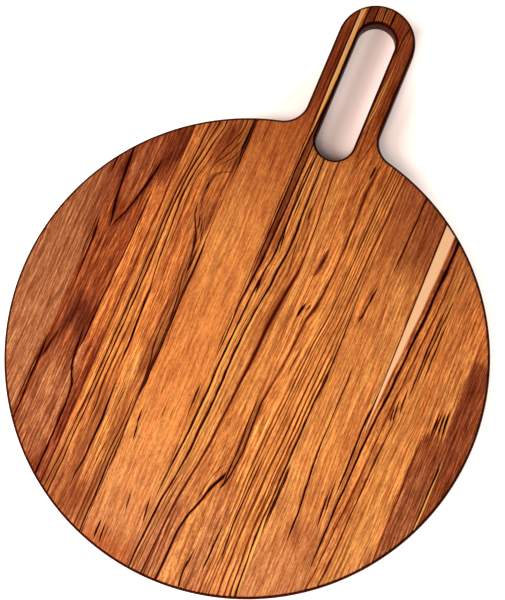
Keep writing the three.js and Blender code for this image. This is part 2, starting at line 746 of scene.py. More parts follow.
class TeakSurface:
    """Turns one stave's finish into a material.

    The figure is drawn on the serving face and leans on its way through the wood, so it also shows on
    the edges and the underside.
    """

    # How far the figure can reach along the board, and past the sides of its stave.
    FAR = 300.0
    NEAR = -190.0
    MARGIN = 4.0
    # How far lines waver, and the noise at which one lies on its marks. The noise is mostly lower than
    # that, so lines lie a little to the right of their marks.
    WAVER = 1.6
    STEADY = 1.0
    UNSTEADY = Grain((0.06, 0.03, 0.06), detail=1.0)
    # The tones: broad bands, a painted sheen that pales the foot, painted shade that darkens the wood
    # towards the handle, and the ends of a patch.
    BANDS = Grain((0.2, 0.006, 0.06), 11.0, detail=3.0, roughness=0.6, ends=(0.36, 0.64))
    FOOT = (-60.0, -175.0)
    FADED = 0.7
    HANDLE = (-60.0, 190.0)
    PATINA = 0.84
    TEETH = Grain((0.45, 0.006, 0.3), detail=3.0, roughness=0.7)
    TOOTH_GAIN = 4.0
    # The fine grain, from the crispest layer to the broadest, and how its contrast grows with mottle.
    HATCH = Grain((0.9, 0.04, 0.7), 43.0, detail=1.0, ends=(0.38, 0.62))
    GRIT = Grain((0.9, 0.38, 0.9), 61.0, detail=1.0, swing=(0.4, 0.4))
    FLECKS = Grain((0.9, 0.07, 0.8), 29.0, roughness=0.65, ends=(0.4, 0.6), swing=(0.8, 0.8))
    FIBRES = Grain(
        (0.8, 0.011, 0.8), 23.0, detail=3.0, roughness=0.7, ends=(0.41, 0.57), swing=(1.0, 0.7)
    )
    CRISP = 0.14
    CRISP_GAIN = 0.35
    VEINS = Grain((0.5, 0.005, 0.4), 37.0, roughness=0.6)
    VEIN_WIDTH = 0.035
    PORES = Grain((1.6, 0.32, 1.6), 51.0, roughness=0.7, ends=(0.46, 0.66))
    PORE_DEPTH = 0.32
    # The rings: how they drift and fade, and how sharp and pale they are.
    DRIFT = Grain((0.12, 0.003, 0.1), 71.0, detail=0.0)
    DRIFT_GAIN = 2.0
    FAINT = Grain((0.3, 0.012, 0.2), 83.0, ends=(0.35, 0.55))
    FAINTEST = 0.5
    RING_SIDE = 1.0
    RING_CORE = 0.3
    RING_PALE = 0.28
    # The single lines: which are drawn under and over the fine grain, and how they end at their sides.
    UNDER = (Shade.CHESTNUT, Shade.UMBER)
    OVER = (Shade.SAPWOOD, Shade.PALE, Shade.BARK, Shade.INK)
    HAIR = 2e-4
    FADE = 0.85
    WIDE = 5.0
    RAGGED_ENDS = (0.35, 0.65)
    RAGGED = (0.75, 1.3)
    # Beside dark lines the wood is stained close by and pale farther off, in half widths of the line.
    HALOED = (Shade.BARK, Shade.INK)
    HALO_REACH = (3.0, 1.5)
    BLEED_REACH = (1.2, 0.7)
    BLEED_DEPTH = 0.3
    FARTHEST = 10.0
    # Oil: the red at which a colour stays as it is, what it does to green and blue, and its limit.
    EVEN = 0.62
    OIL_GREEN = 0.45
    OIL_BLUE = 0.55
    PALEST = 1.12
    # Painted shade on the rounded edges and walls, and darker end grain: how upright a face's normal is
    # where its edge begins, and how dark walls and rims are.
    EDGE_TURN = (0.985, 0.9)
    WALL_TURN = (0.3, 1.0)
    WALL_DARK = (0.45, 0.85)
    RIM_TURN = 0.4
    RIM_DARK = 0.97
    # Gloss and relief.
    GLOSS_ENDS = (0.3, 0.7)
    GLOSS = (0.54, 0.46)
    PORE_DULL = 0.3
    FIBRE_RELIEF = 0.3
    RELIEF_MM = 0.05
    SPECULAR = 0.12

    def __init__(self, name: str, finish: TeakFinish, planes_mm: Place, thickness_mm: float) -> None:
        """Lays out the coordinates that every part of the figure reads.

        Args:
            name: of the material.
            finish: what the stave looks like.
            planes_mm: where the stave starts and ends, along X.
            thickness_mm: of the board.
        """
        self.finish = finish
        self.sketch = sketch = FinishSketch(name)
        self.low = planes_mm[0] - self.MARGIN
        self.span = planes_mm[1] + self.MARGIN - self.low
        place = sketch.place_mm()
        x, self.y, z = sketch.split(place)
        below = sketch.math("SUBTRACT", thickness_mm, z)
        leaning = sketch.math("MULTIPLY_ADD", below, finish.lean, x)
        unsteady = sketch.math("SUBTRACT", sketch.noise(place, self.UNSTEADY, finish.seed), self.STEADY)
        self.across = sketch.math("MULTIPLY_ADD", unsteady, self.WAVER, leaning)
        self.along = sketch.ranged(self.y, self.FAR, self.NEAR)
        self.local = sketch.ranged(self.across, self.low, self.low + self.span)
        self.paths = [self.path(streak) for streak in finish.streaks]
        self.straight = self.straightened()
        self.grain = sketch.joined(self.straight, self.y, z)

    def material(self) -> bpy.types.Material:
        """Builds the tree: ground, soft lines, fine grain, rings, sharp lines, and painted edge shade
        with darker end grain, in that order.

        Returns:
            The material.
        """
        sketch, spread = self.sketch, self.finish.mottle
        hatch, grit, flecks, fibres = map(self.noise, (self.HATCH, self.GRIT, self.FLECKS, self.FIBRES))
        ragged = sketch.ranged(flecks, *self.RAGGED_ENDS, *self.RAGGED)
        colour = self.streaked(self.ground(), ragged, self.UNDER)

        crisp = self.CRISP + spread * self.CRISP_GAIN
        layers = (
            (hatch, self.HATCH, crisp),
            (grit, self.GRIT, crisp),
            (flecks, self.FLECKS, spread),
            (fibres, self.FIBRES, spread),
        )
        for noise, grain, contrast in layers:
            darker, paler = (contrast * share for share in grain.swing)
            colour = sketch.scaled(colour, sketch.ranged(noise, *grain.ends, 1 - darker, 1 + paler))
        beside = sketch.apart(self.noise(self.VEINS), 0.5)
        colour = sketch.scaled(colour, sketch.ranged(beside, 0.0, self.VEIN_WIDTH, 1 - spread, 1.0))
        pores = self.noise(self.PORES)
        pore = sketch.ranged(pores, *self.PORES.ends, 0.0, self.PORE_DEPTH, smooth=True)
        colour = sketch.mixed(pore, colour, Shade.BARK.linear())

        for rings in self.finish.rings:
            colour = self.ringed(colour, rings)
        # Painted shade on the rounded edges and walls, and darker end grain, go on before the oil's
        # reddening.
        colour = self.reddened(self.worn(self.streaked(colour, ragged, self.OVER)))

        gloss = sketch.ranged(fibres, *self.GLOSS_ENDS, *self.GLOSS)
        roughness = sketch.math("MULTIPLY_ADD", pore, self.PORE_DULL, gloss)
        height = sketch.math("SUBTRACT", sketch.math("MULTIPLY", fibres, self.FIBRE_RELIEF), pore)
        sketch.shine(colour, roughness, height, self.RELIEF_MM, self.SPECULAR)
        return sketch.material

    def noise(self, grain: Grain, seed: float = 0.0) -> Socket:
        """A layer of grain that runs along the stave's leading lines."""
        return self.sketch.noise(self.grain, grain, self.finish.seed + seed)

    def share_along(self, y: float) -> float:
        """Where a place along Y lies between the far and the near end of the figure."""
        return (self.FAR - y) / (self.FAR - self.NEAR)

    def path(self, streak: Streak) -> Socket:
        """A streak's middle line, as a share of the stave's width."""
        points = [(self.share_along(y), (x - self.low) / self.span) for x, y, _ in streak.marks]
        return self.sketch.drawn(streak.name, self.along, points)

    def straightened(self) -> Socket:
        """The place across the stave, bent so that the grain runs along the leading lines.

        Returns:
            The place in millimetres.
        """
        leaders = [
            (streak.middle - self.low, path)
            for streak, path in zip(self.finish.streaks, self.paths) if streak.leads
        ]
        leaders = [(0.0, 0.0), *sorted(leaders, key=lambda leader: leader[0]), (self.span, 1.0)]
        total: Value = self.low
        for (start, path), (end, next_path) in zip(leaders, leaders[1:]):
            step = self.sketch.ranged(self.local, path, next_path, 0.0, end - start)
            total = self.sketch.math("ADD", total, step)
        return total

    def ground(self) -> Socket:
        """The stave's tones: bands, patches, a painted sheen that pales the foot, and painted shade
        towards the handle.

        Returns:
            The colour.
        """
        sketch, finish = self.sketch, self.finish
        bands = sketch.ranged(self.noise(self.BANDS), *self.BANDS.ends, 0.0, finish.bands, smooth=True)
        colour = sketch.mixed(bands, finish.light.linear(), finish.dark.linear())
        # Painted sheen: towards the foot the wood is mixed with tan, a pale veil of gloss.
        painted_sheen = sketch.ranged(self.y, *self.FOOT, 0.0, self.FADED)
        colour = sketch.mixed(painted_sheen, colour, Shade.TAN.linear())
        for patch in finish.patches:
            colour = sketch.mixed(self.patch_mask(patch), colour, patch.shade.linear())
        # Painted shade: the wood goes darker towards the handle, as the light falls off there.
        return sketch.scaled(colour, sketch.ranged(self.y, *self.HANDLE, 1.0, self.PATINA))

    def patch_mask(self, patch: Patch) -> Socket:
        """How far the surface goes to a patch's colour.

        Args:
            patch: the area of another tone.

        Returns:
            The share, from 0 to the patch's depth.
        """
        sketch = self.sketch
        (centre_x, centre_y), (half_x, half_y), (soft_x, soft_y) = patch.centre, patch.half, patch.soft
        teeth = sketch.math("SUBTRACT", self.noise(self.TEETH, centre_y), 0.5)
        run = sketch.math("MULTIPLY_ADD", teeth, self.TOOTH_GAIN * patch.ragged, self.y)
        sides = sketch.apart(self.across, centre_x)
        ends = sketch.apart(run, centre_y)
        within_sides = sketch.ranged(
            sides, half_x - soft_x, half_x + soft_x, patch.depth, 0.0, smooth=True
        )
        within_ends = sketch.ranged(ends, half_y - soft_y, half_y + soft_y, 1.0, 0.0, smooth=True)
        return sketch.math("MULTIPLY", within_sides, within_ends)

    def ringed(self, colour: Value, rings: Rings) -> Socket:
        """Draws close growth rings over a colour.

        Args:
            colour: the wood under them.
            rings: where they are.

        Returns:
            The new colour.
        """
        sketch, side = self.sketch, self.RING_SIDE
        drift, faint = self.noise(self.DRIFT), self.noise(self.FAINT)
        count = sketch.math("DIVIDE", self.straight, rings.spacing)
        count = sketch.math("MULTIPLY_ADD", drift, self.DRIFT_GAIN, count)
        away = sketch.math("PINGPONG", count, 0.5)
        inside = sketch.math(
            "MULTIPLY",
            sketch.ranged(self.straight, rings.left - side, rings.left + side),
            sketch.ranged(self.straight, rings.right + side, rings.right - side),
        )
        shown = sketch.ranged(faint, *self.FAINT.ends, self.FAINTEST, 1.0)
        strength = sketch.math("MULTIPLY", inside, shown)
        half = rings.width / 2 / rings.spacing
        line = sketch.ranged(away, half * self.RING_CORE, half, rings.depth, 0.0, smooth=True)
        between = sketch.ranged(away, half, 0.5, 0.0, self.RING_PALE)
        colour = sketch.mixed(sketch.math("MULTIPLY", strength, between), colour, Shade.PALE.linear())
        return sketch.mixed(sketch.math("MULTIPLY", strength, line), colour, Shade.BARK.linear())

    def reach(self, streak: Streak, path: Socket, ragged: Value) -> Socket:
        """How far a place is from a streak.

        Args:
            streak: the line.
            path: its middle line.
            ragged: a factor about 1 that makes narrow lines wider and narrower.

        Returns:
            The distance from its middle, in half widths of the line there.
        """
        sketch = self.sketch
        halves = [
            (self.share_along(y), max(width / 2 / self.span, self.HAIR)) for _, y, width in streak.marks
        ]
        half = sketch.drawn(f"{streak.name}, half width", self.along, halves)
        reach = sketch.math("DIVIDE", sketch.apart(self.local, path), half)
        return sketch.math("MULTIPLY", reach, ragged) if streak.widest < self.WIDE else reach

    def streaked(self, colour: Value, ragged: Value, shades: Iterable[Shade]) -> Value:
        """Draws the single lines of some shades over a colour, each dark one between stained edges.

        Args:
            colour: the wood under them.
            ragged: a factor about 1 that makes the lines wider and narrower.
            shades: which lines to draw, the lowest first.

        Returns:
            The new colour.
        """
        sketch = self.sketch
        for shade in shades:
            mask: Value = 0.0
            nearest: Value = self.FARTHEST
            for streak, path in zip(self.finish.streaks, self.paths):
                if streak.shade is not shade:
                    continue
                reach = self.reach(streak, path, ragged)
                line = sketch.ranged(reach, streak.core, self.FADE, streak.depth, 0.0, smooth=True)
                mask = sketch.math("MAXIMUM", mask, line)
                nearest = sketch.math("MINIMUM", nearest, reach)
            if shade in self.HALOED:
                edges = sketch.ranged(nearest, *self.HALO_REACH, 0.0, self.finish.halo)
                colour = sketch.mixed(edges, colour, Shade.PALE.linear())
                bleed = sketch.ranged(nearest, *self.BLEED_REACH, 0.0, self.BLEED_DEPTH)
                colour = sketch.mixed(bleed, colour, Shade.BLEED.linear())
            colour = sketch.mixed(mask, colour, shade.linear())
        return colour

    def reddened(self, colour: Value) -> Socket:
        """Makes dark wood redder and pale wood yellower, as oil does.

        Args:
            colour: the dry wood.

        Returns:
            The oiled wood.
        """
        sketch = self.sketch
        red, green, blue = sketch.split(colour)
        share = sketch.math("DIVIDE", red, self.EVEN)
        oiled = []
        for part, power in ((green, self.OIL_GREEN), (blue, self.OIL_BLUE)):
            factor = sketch.math("MINIMUM", sketch.math("POWER", share, power), self.PALEST)
            oiled.append(sketch.math("MULTIPLY", part, factor))
        return sketch.joined(red, *oiled)

    def worn(self, colour: Value) -> Socket:
        """Paints shade on the rounded edges and the walls, and darkens the end grain most, which is
        darker wood.

        Args:
            colour: the wood without them.

        Returns:
            The wood with painted edge shade and darker end grain.
        """
        sketch = self.sketch
        normal = sketch.add("ShaderNodeNewGeometry").outputs["Normal"]
        _, endwards, upwards = (sketch.math("ABSOLUTE", part) for part in sketch.split(normal))
        # Painted shade: a rounded edge goes almost black as it turns down from the top; walls along the
        # grain are darkened less than end grain.
        turned = sketch.ranged(upwards, *self.EDGE_TURN, 0.0, 1.0, smooth=True)
        wall = sketch.ranged(endwards, *self.WALL_TURN, *self.WALL_DARK)
        rim = sketch.ranged(upwards, 0.0, self.RIM_TURN, wall, self.RIM_DARK)
        return sketch.mixed(sketch.math("MULTIPLY", turned, rim), colour, Shade.EDGE.linear())


@dataclass(frozen=True)
class GlueFinish:
    """Cured glue in a joint: brown, a little clouded, and as smooth as the sanded wood beside it.

    Attributes:
        dark: the tone of the thick places.
        pale: the tone of the thin places.
        clouds: how the two lie among each other.
        gloss_ends: the clouds' noise that counts as the lowest and the highest for the gloss.
        gloss: the roughness at these two.
        relief_mm: how far the clouds stand up.
        specular: how strongly the glue reflects.
    """

    dark: Shade = Shade.GLUE_DARK
    pale: Shade = Shade.GLUE_PALE
    clouds: Grain = Grain((0.8, 0.05, 0.8), 3.0, detail=3.0)
    gloss_ends: Place = (0.3, 0.7)
    gloss: Place = (0.5, 0.62)
    relief_mm: float = 0.02
    specular: float = 0.25

    def material(self, name: str) -> bpy.types.Material:
        """Makes the finish as a material.

        Args:
            name: of the material.

        Returns:
            The material.
        """
        sketch = FinishSketch(name)
        cloud = sketch.noise(sketch.place_mm(), self.clouds)
        share = sketch.ranged(cloud, *self.clouds.ends, smooth=True)
        colour = sketch.mixed(share, self.dark.linear(), self.pale.linear())
        roughness = sketch.ranged(cloud, *self.gloss_ends, *self.gloss)
        sketch.shine(colour, roughness, cloud, self.relief_mm, self.specular)
        return sketch.material


# The figure of each stave, from left to right. Places and widths are in millimetres.
LEFT_STAVE_4 = TeakFinish(
    light=Shade.DUSTY, dark=Shade.CHESTNUT, bands=0.3, mottle=0.24, lean=0.9, seed=1.0,
    patches=(
        Patch((-145.5, 70), (5, 36), Shade.CHESTNUT, 0.6, soft=(4, 18)),
        Patch((-152, 94), (14, 16), Shade.CHESTNUT, 0.4, soft=(5, 12)),
    ),
    streaks=(
        Streak("short line at the rim", ((-145.6, 106, 1.6), (-146, 96, 1.6), (-146.6, 84, 0))),
        Streak(
            "fleck at the joint",
            ((-142.6, 54, 0), (-141.8, 40, 2.6), (-142.1, 30, 2.2), (-141.6, 18, 0)),
        ),
        Streak(
            "dark joint",
            ((-141.8, -42, 0), (-141.8, -56, 2), (-141.8, -76, 2.2), (-142, -104, 1.2)),
        ),
    ),
)


LEFT_STAVE_3 = TeakFinish(
    light=Shade.RUSSET, dark=Shade.CHESTNUT, bands=0.8, mottle=0.38, lean=-0.8, seed=2.0,
    patches=(
        Patch((-107, 34), (6.4, 62), Shade.AMBER, 0.95, soft=(1.5, 22)),
        Patch((-121, 122), (20, 28), Shade.CHESTNUT, 0.8, soft=(5, 16)),
        Patch((-127, 92), (7, 18), Shade.DUSTY, 0.25, soft=(4, 10)),
        Patch((-124, -86), (13, 44), Shade.DUSTY, 0.7, soft=(3, 10)),
        Patch((-124, -132), (16, 20), Shade.CHESTNUT, 0.45, soft=(5, 16)),
        Patch((-127, -30), (12, 26), Shade.CHESTNUT, 0.8, soft=(5, 18), ragged=4),
        Patch((-126, -20), (9, 13), Shade.UMBER, 0.85, soft=(5, 8), ragged=6),
        Patch((-107, 126), (9, 20), Shade.UMBER, 0.45, soft=(4, 10)),
        Patch((-104, -104), (4, 46), Shade.CHESTNUT, 0.9, soft=(2, 14)),
    ),
    streaks=(
        Streak(
            "V, left arm",
            ((-137.8, 116, 3.4), (-136.8, 96, 2.8), (-135.6, 80, 2.4), (-133.6, 65, 3),
             (-131.2, 54, 2), (-130, 47, 0)),
        ),
        Streak(
            "V, right arm",
            ((-114.2, 112, 0), (-116, 98, 2.8), (-118.6, 85, 3), (-121.2, 74, 2.4), (-124.2, 64, 2),
             (-127.6, 55, 1.8), (-129.6, 48, 0)),
        ),
        Streak(
            "smoke of the left arm",
            ((-139, 118, 10), (-137, 80, 9), (-133, 60, 8), (-130, 42, 0)),
            Shade.UMBER, 0.7, core=0,
        ),
        Streak(
            "smoke of the right arm",
            ((-114, 116, 0), (-117, 95, 9), (-121, 72, 9), (-129, 44, 0)),
            Shade.UMBER, 0.7, core=0,
        ),
        Streak(
            "line at the joint",
            ((-140.6, 58, 0), (-139.2, 42, 2.4), (-138.4, 16, 1.8), (-137.6, -10, 0)),
        ),
        Streak(
            "long line",
            ((-111.8, 92, 0), (-112.4, 70, 1.8), (-113.2, 30, 1.4), (-114.4, -6, 1.7),
             (-114.8, -28, 2.2), (-115.4, -46, 0)),
            leads=True,
        ),
        Streak(
            "arch, right leg",
            ((-119.8, -22, 0), (-118, -34, 1.6), (-116.4, -50, 2.6), (-113.6, -62, 2.4),
             (-109.4, -73, 2.6), (-108.1, -100, 2.6), (-108.3, -142, 2)),
        ),
        Streak(
            "arch, left leg",
            ((-134, -36, 0), (-135.6, -42, 1.6), (-137.2, -51, 2.4), (-138.8, -62, 0)),
            depth=0.85,
        ),
        Streak(
            "smoke of the right leg",
            ((-126, -8, 0), (-122, -18, 13), (-119, -30, 11), (-117, -44, 7), (-115.6, -60, 0)),
            Shade.UMBER, 0.9, core=0.1,
        ),
        Streak(
            "smoke of the left leg",
            ((-126, -10, 0), (-130, -22, 12), (-134, -34, 10), (-137, -48, 8), (-139, -64, 0)),
            Shade.UMBER, 0.85, core=0.1,
        ),
        Streak(
            "black joint",
            ((-140.4, -40, 0), (-140.4, -54, 2.8), (-140.2, -72, 2.8), (-139.8, -88, 2.2),
             (-139.4, -112, 1.8)),
        ),
        Streak(
            "fleck on the right",
            ((-104.9, -92, 0), (-104.7, -104, 2), (-104.4, -118, 0)),
            depth=0.8,
        ),
        Streak("fleck at the top", ((-101, 138, 2), (-101.2, 126, 1.8), (-101, 116, 0)), depth=0.9),
        Streak(
            "brown joint",
            ((-102.2, 108, 0), (-102.2, 80, 1.8), (-102.2, -20, 1.6), (-102.2, -70, 2.4),
             (-102.2, -140, 2.4)),
            Shade.BARK, 0.75,
        ),
    ),
)


LEFT_STAVE_2 = TeakFinish(
    light=Shade.AMBER, dark=Shade.RUSSET, bands=0.5, mottle=0.32, lean=0.4, seed=3.0, halo=0.12,
    rings=(
        Rings(-101, -91, 1.9, 1.0, 0.5),
        Rings(-91, -84, 2.6, 1.1, 0.3),
        Rings(-70, -60, 2.3, 1.1, 0.5),
    ),
    patches=(
        Patch((-70, 139), (11, 17), Shade.BLEED, 0.7, soft=(4, 8), ragged=4),
        Patch((-80, 152), (20, 12), Shade.CHESTNUT, 0.6, soft=(6, 10)),
        Patch((-69, 84), (8, 13), Shade.UMBER, 0.5, soft=(4, 8), ragged=4),
        Patch((-68, 106), (5, 9), Shade.COPPER, 0.9, soft=(2, 4), ragged=2),
        Patch((-65, 0), (4.5, 56), Shade.CHESTNUT, 0.85, soft=(2, 20)),
        Patch((-66, -110), (3, 36), Shade.CHESTNUT, 0.7, soft=(2, 20)),
        Patch((-83, -100), (5, 40), Shade.UMBER, 0.6, soft=(2, 14)),
        Patch((-82, -146), (20, 18), Shade.CHESTNUT, 0.85, soft=(6, 12)),
        Patch((-73, -74), (5, 46), Shade.HONEY, 0.85, soft=(2, 20)),
        Patch((-97, -40), (3.6, 70), Shade.MARIGOLD, 0.5, soft=(1, 30)),
    ),
    streaks=(
        Streak(
            "first line",
            ((-92, 150, 1.6), (-93.4, 120, 1.8), (-95, 96, 2), (-95.4, 50, 2.1), (-95.3, 0, 2.1),
             (-95.6, -50, 2), (-96.6, -100, 1.6), (-99, -146, 1.4)),
            Shade.BARK, leads=True,
        ),
        Streak(
            "second line",
            ((-86, 151, 1.7), (-89.4, 128, 1.8), (-92, 106, 2), (-93, 80, 2), (-92.6, 40, 1.9),
             (-92.5, 0, 1.9), (-93, -60, 1.8), (-94.8, -140, 1.5)),
            Shade.BARK, leads=True,
        ),
        Streak(
            "third line",
            ((-81, 151, 1.6), (-86, 126, 1.8), (-89, 104, 2.1), (-89.6, 84, 2.2), (-88, 58, 1.9),
             (-86.6, 32, 1.2), (-85.6, 18, 0)),
            Shade.BARK, leads=True,
        ),
        Streak(
            "fourth line",
            ((-77, 140, 1.0), (-83.5, 117, 1.3), (-86, 95, 1.3), (-84.2, 55, 1.1), (-84, 36, 0)),
            Shade.BARK, 0.7,
        ),
        Streak(
            "black line, upper",
            ((-85.4, 26, 0), (-84.6, 10, 2.2), (-83.5, -14, 2.6), (-82.8, -36, 2.2), (-82.6, -48, 0)),
        ),
        Streak(
            "black line, lower",
            ((-80.8, -50, 0), (-80.3, -66, 2), (-79.4, -90, 2.8), (-80.5, -118, 2), (-81.6, -132, 1.4),
             (-80, -144, 0)),
        ),
        Streak(
            "line beside it",
            ((-88.2, 4, 0), (-88.6, -28, 1.5), (-89.2, -60, 1.7), (-87.6, -80, 1.4), (-88.4, -118, 0)),
            depth=0.85,
        ),
        Streak(
            "dark swirl",
            ((-68, 156, 12), (-73, 141, 15), (-77, 128, 12), (-80, 110, 0)),
            Shade.UMBER, 0.35, core=0.2,
        ),
        Streak(
            "swirl, first line",
            ((-66.6, 156, 1.6), (-71.4, 142, 2), (-76, 130, 1.8), (-79.4, 114, 0)),
            Shade.BARK, 0.8,
        ),
        Streak(
            "swirl, second line",
            ((-63.4, 152, 0), (-67, 141, 2), (-71.6, 131, 2), (-76.6, 122, 1.6), (-79, 108, 0)),
            Shade.BARK, 0.75,
        ),
        Streak(
            "swirl, third line",
            ((-62.4, 142, 0), (-65.2, 134, 1.8), (-69.6, 127, 1.8), (-74.6, 121, 0)),
            Shade.BARK, 0.7,
        ),
        Streak(
            "dark hollow",
            ((-63, 152, 8), (-65, 136, 10), (-69, 124, 8), (-76, 110, 0)),
            Shade.UMBER, 0.3, core=0.2,
        ),
        Streak(
            "knot, ring",
            ((-62, 121.5, 0), (-67, 119.5, 6), (-72, 116, 8), (-75.5, 108, 9), (-75.6, 98, 7),
             (-74, 88, 0)),
            Shade.UMBER, 0.9, core=0.1,
        ),
        Streak(
            "knot, edge",
            ((-64, 121, 0), (-70, 118, 1.8), (-74.5, 110, 2.2), (-75.2, 102, 0)),
            Shade.BARK, 0.35,
        ),
        Streak("knot, eye", ((-75.6, 109, 0), (-75.4, 105, 2.4), (-75.7, 100, 0)), depth=0.9),
        Streak("knot, first fleck", ((-72.4, 83, 0), (-70.8, 77, 1.8), (-69.2, 70, 0)), depth=0.85),
        Streak("knot, second fleck", ((-69.6, 81, 0), (-68.2, 75, 1.6), (-66.8, 68, 0)), depth=0.85),
        Streak("knot, third fleck", ((-66.4, 76, 0), (-65.4, 69, 1.6), (-64.4, 62, 0)), depth=0.85),
        Streak("knot, fourth fleck", ((-70.6, 69, 0), (-68.8, 63, 1.8), (-67, 56, 0)), depth=0.85),
        Streak(
            "knot, tail",
            ((-77.4, 92, 0), (-76.4, 84, 1.6), (-72.6, 74, 2.2), (-68, 64, 2.6), (-65.6, 50, 1.8),
             (-64.2, 32, 0)),
            depth=0.9,
        ),
        Streak("line under the knot", ((-63.6, 60, 0), (-64, 46, 2), (-64.6, 36, 0))),
        Streak(
            "right line, upper",
            ((-67.6, 42, 0), (-65.4, 28, 1.6), (-62.8, 8, 1.6), (-61.6, -6, 0)),
            depth=0.85,
        ),
        Streak(
            "right line, middle",
            ((-66.6, 6, 0), (-65.4, -20, 1.8), (-63.4, -36, 1.8), (-62.4, -54, 0)),
            depth=0.85,
        ),
        Streak(
            "right line, lower",
            ((-64.2, -50, 0), (-64.3, -76, 1.7), (-65.4, -108, 1.4), (-66, -120, 0)),
            depth=0.85,
        ),
        Streak("short line", ((-72.2, -52, 0), (-72.8, -66, 1.5), (-73.7, -80, 0)), depth=0.8),
        Streak("short line below", ((-69.9, -92, 0), (-70.8, -108, 1.5), (-71.2, -122, 0)), depth=0.8),
        Streak(
            "black joint",
            ((-62, 158, 3), (-62.2, 144, 3), (-61.6, 124, 0), (-61.8, 44, 0), (-61.6, 20, 2),
             (-61.6, -50, 2), (-61.7, -70, 1), (-62.4, -122, 2), (-62.2, -160, 1.4)),
        ),
    ),
)


LEFT_STAVE_1 = TeakFinish(
    light=Shade.HONEY, dark=Shade.AMBER, bands=0.8, mottle=0.13, lean=-0.3, seed=4.0,
    patches=(
        # Painted shade: the top of the stave darker, towards the handle.
        Patch((-40, 160), (30, 50), Shade.RUSSET, 0.7, soft=(6, 45)),
        Patch((-24, 240), (14, 64), Shade.MAHOGANY, 0.95, soft=(6, 24)),
        Patch((-23.5, 248), (1.6, 30), Shade.UMBER, 0.5, soft=(1.4, 14)),
        Patch((-40, -10), (24, 50), Shade.COPPER, 0.5, soft=(6, 40)),
        # Painted shade: darker along the near rim at the foot.
        Patch((-40, -176), (30, 16), Shade.RUSSET, 0.7, soft=(6, 10), ragged=4),
    ),
    streaks=(
        Streak(
            "dark joint, left",
            ((-60.9, 168, 2.6), (-60.8, 140, 2.6), (-61, 118, 0.8), (-60.9, 74, 0.8), (-60.6, 50, 2.4),
             (-60.6, -44, 2.2), (-61, -60, 0.6), (-60.7, -102, 2), (-61, -122, 0.6)),
        ),
        Streak(
            "dark joint, right",
            ((-21.3, 275, 1.8), (-21.3, 200, 1.8), (-21.2, 168, 1.2), (-21, 100, 1.4), (-20.8, 0, 1.8),
             (-20.7, -30, 0.8), (-20.7, -72, 0.8), (-20.6, -88, 2.2), (-20.9, -110, 0.6),
             (-20.7, -140, 1), (-20.7, -172, 2.2)),
        ),
        Streak(
            "rail line, outer",
            ((-27, 264, 0), (-26.8, 238, 1.5), (-27, 208, 1.5), (-28, 188, 0)),
            Shade.UMBER, 0.8,
        ),
        Streak(
            "rail line, middle",
            ((-23.6, 272, 0), (-23.9, 244, 1.7), (-24.2, 212, 1.5), (-25.4, 184, 0)),
            depth=0.6,
        ),
        Streak(
            "rail line, inner",
            ((-21.6, 270, 0), (-21.8, 240, 1.2), (-21.9, 205, 1.2), (-22.2, 180, 0)),
            depth=0.5,
        ),
        Streak("diagonal mark", ((-59.4, 6, 0), (-58.2, -6, 1.4), (-57.4, -22, 0)), Shade.UMBER, 0.7),
        Streak(
            "short line at the rim",
            ((-51, 168, 1.6), (-51, 158, 1.6), (-51, 148, 0)),
            Shade.UMBER, 0.8,
        ),
        Streak("faint line", ((-37.6, 160, 0), (-37.6, 138, 1.8), (-37.8, 114, 0)), Shade.UMBER, 0.55),
        Streak(
            "faint line on the left",
            ((-53.6, 146, 0), (-53.8, 126, 1.8), (-53.4, 102, 0)),
            Shade.UMBER, 0.45,
        ),
        Streak("mineral dash, upper", ((-55.2, -66, 0), (-54.8, -74, 2), (-53.8, -79, 0))),
        Streak("mineral dash, under it", ((-54, -77, 0), (-53, -84, 2.2), (-52.2, -92, 0))),
        Streak("mineral dash, right", ((-23.5, -32, 0), (-23.3, -44, 2.2), (-22.7, -63, 0))),
        Streak("mineral dash, foot", ((-24.7, -121, 0), (-23.7, -133, 2), (-22.4, -145, 0))),
        Streak(
            "mineral dash, middle",
            ((-38.9, -123, 0), (-38.5, -131, 1.8), (-37.5, -141, 0)),
            depth=0.85,
        ),
        Streak("rim dash, first", ((-51.7, -150, 0), (-51.3, -159, 2.2), (-50.8, -168, 0))),
        Streak("rim dash, second", ((-47.7, -152, 0), (-46.9, -161, 2), (-46, -169, 0))),
        Streak(
            "rim dash, third",
            ((-44.8, -152, 0), (-44.6, -158, 1.4), (-44.3, -164, 0)),
            Shade.UMBER, 0.8,
        ),
        Streak(
            "rim dash, fourth",
            ((-42, -152, 0), (-41.8, -158, 1.4), (-41.4, -163, 0)),
            Shade.UMBER, 0.8,
        ),
        Streak("pin mark, left", ((-40.3, -57, 0), (-40, -63, 1.4), (-39.6, -70, 0)), Shade.UMBER, 0.7),
        Streak(
            "pin mark, right",
            ((-34.3, -56, 0), (-34.2, -61, 1.4), (-34, -67, 0)),
            Shade.UMBER, 0.7,
        ),
    ),
)


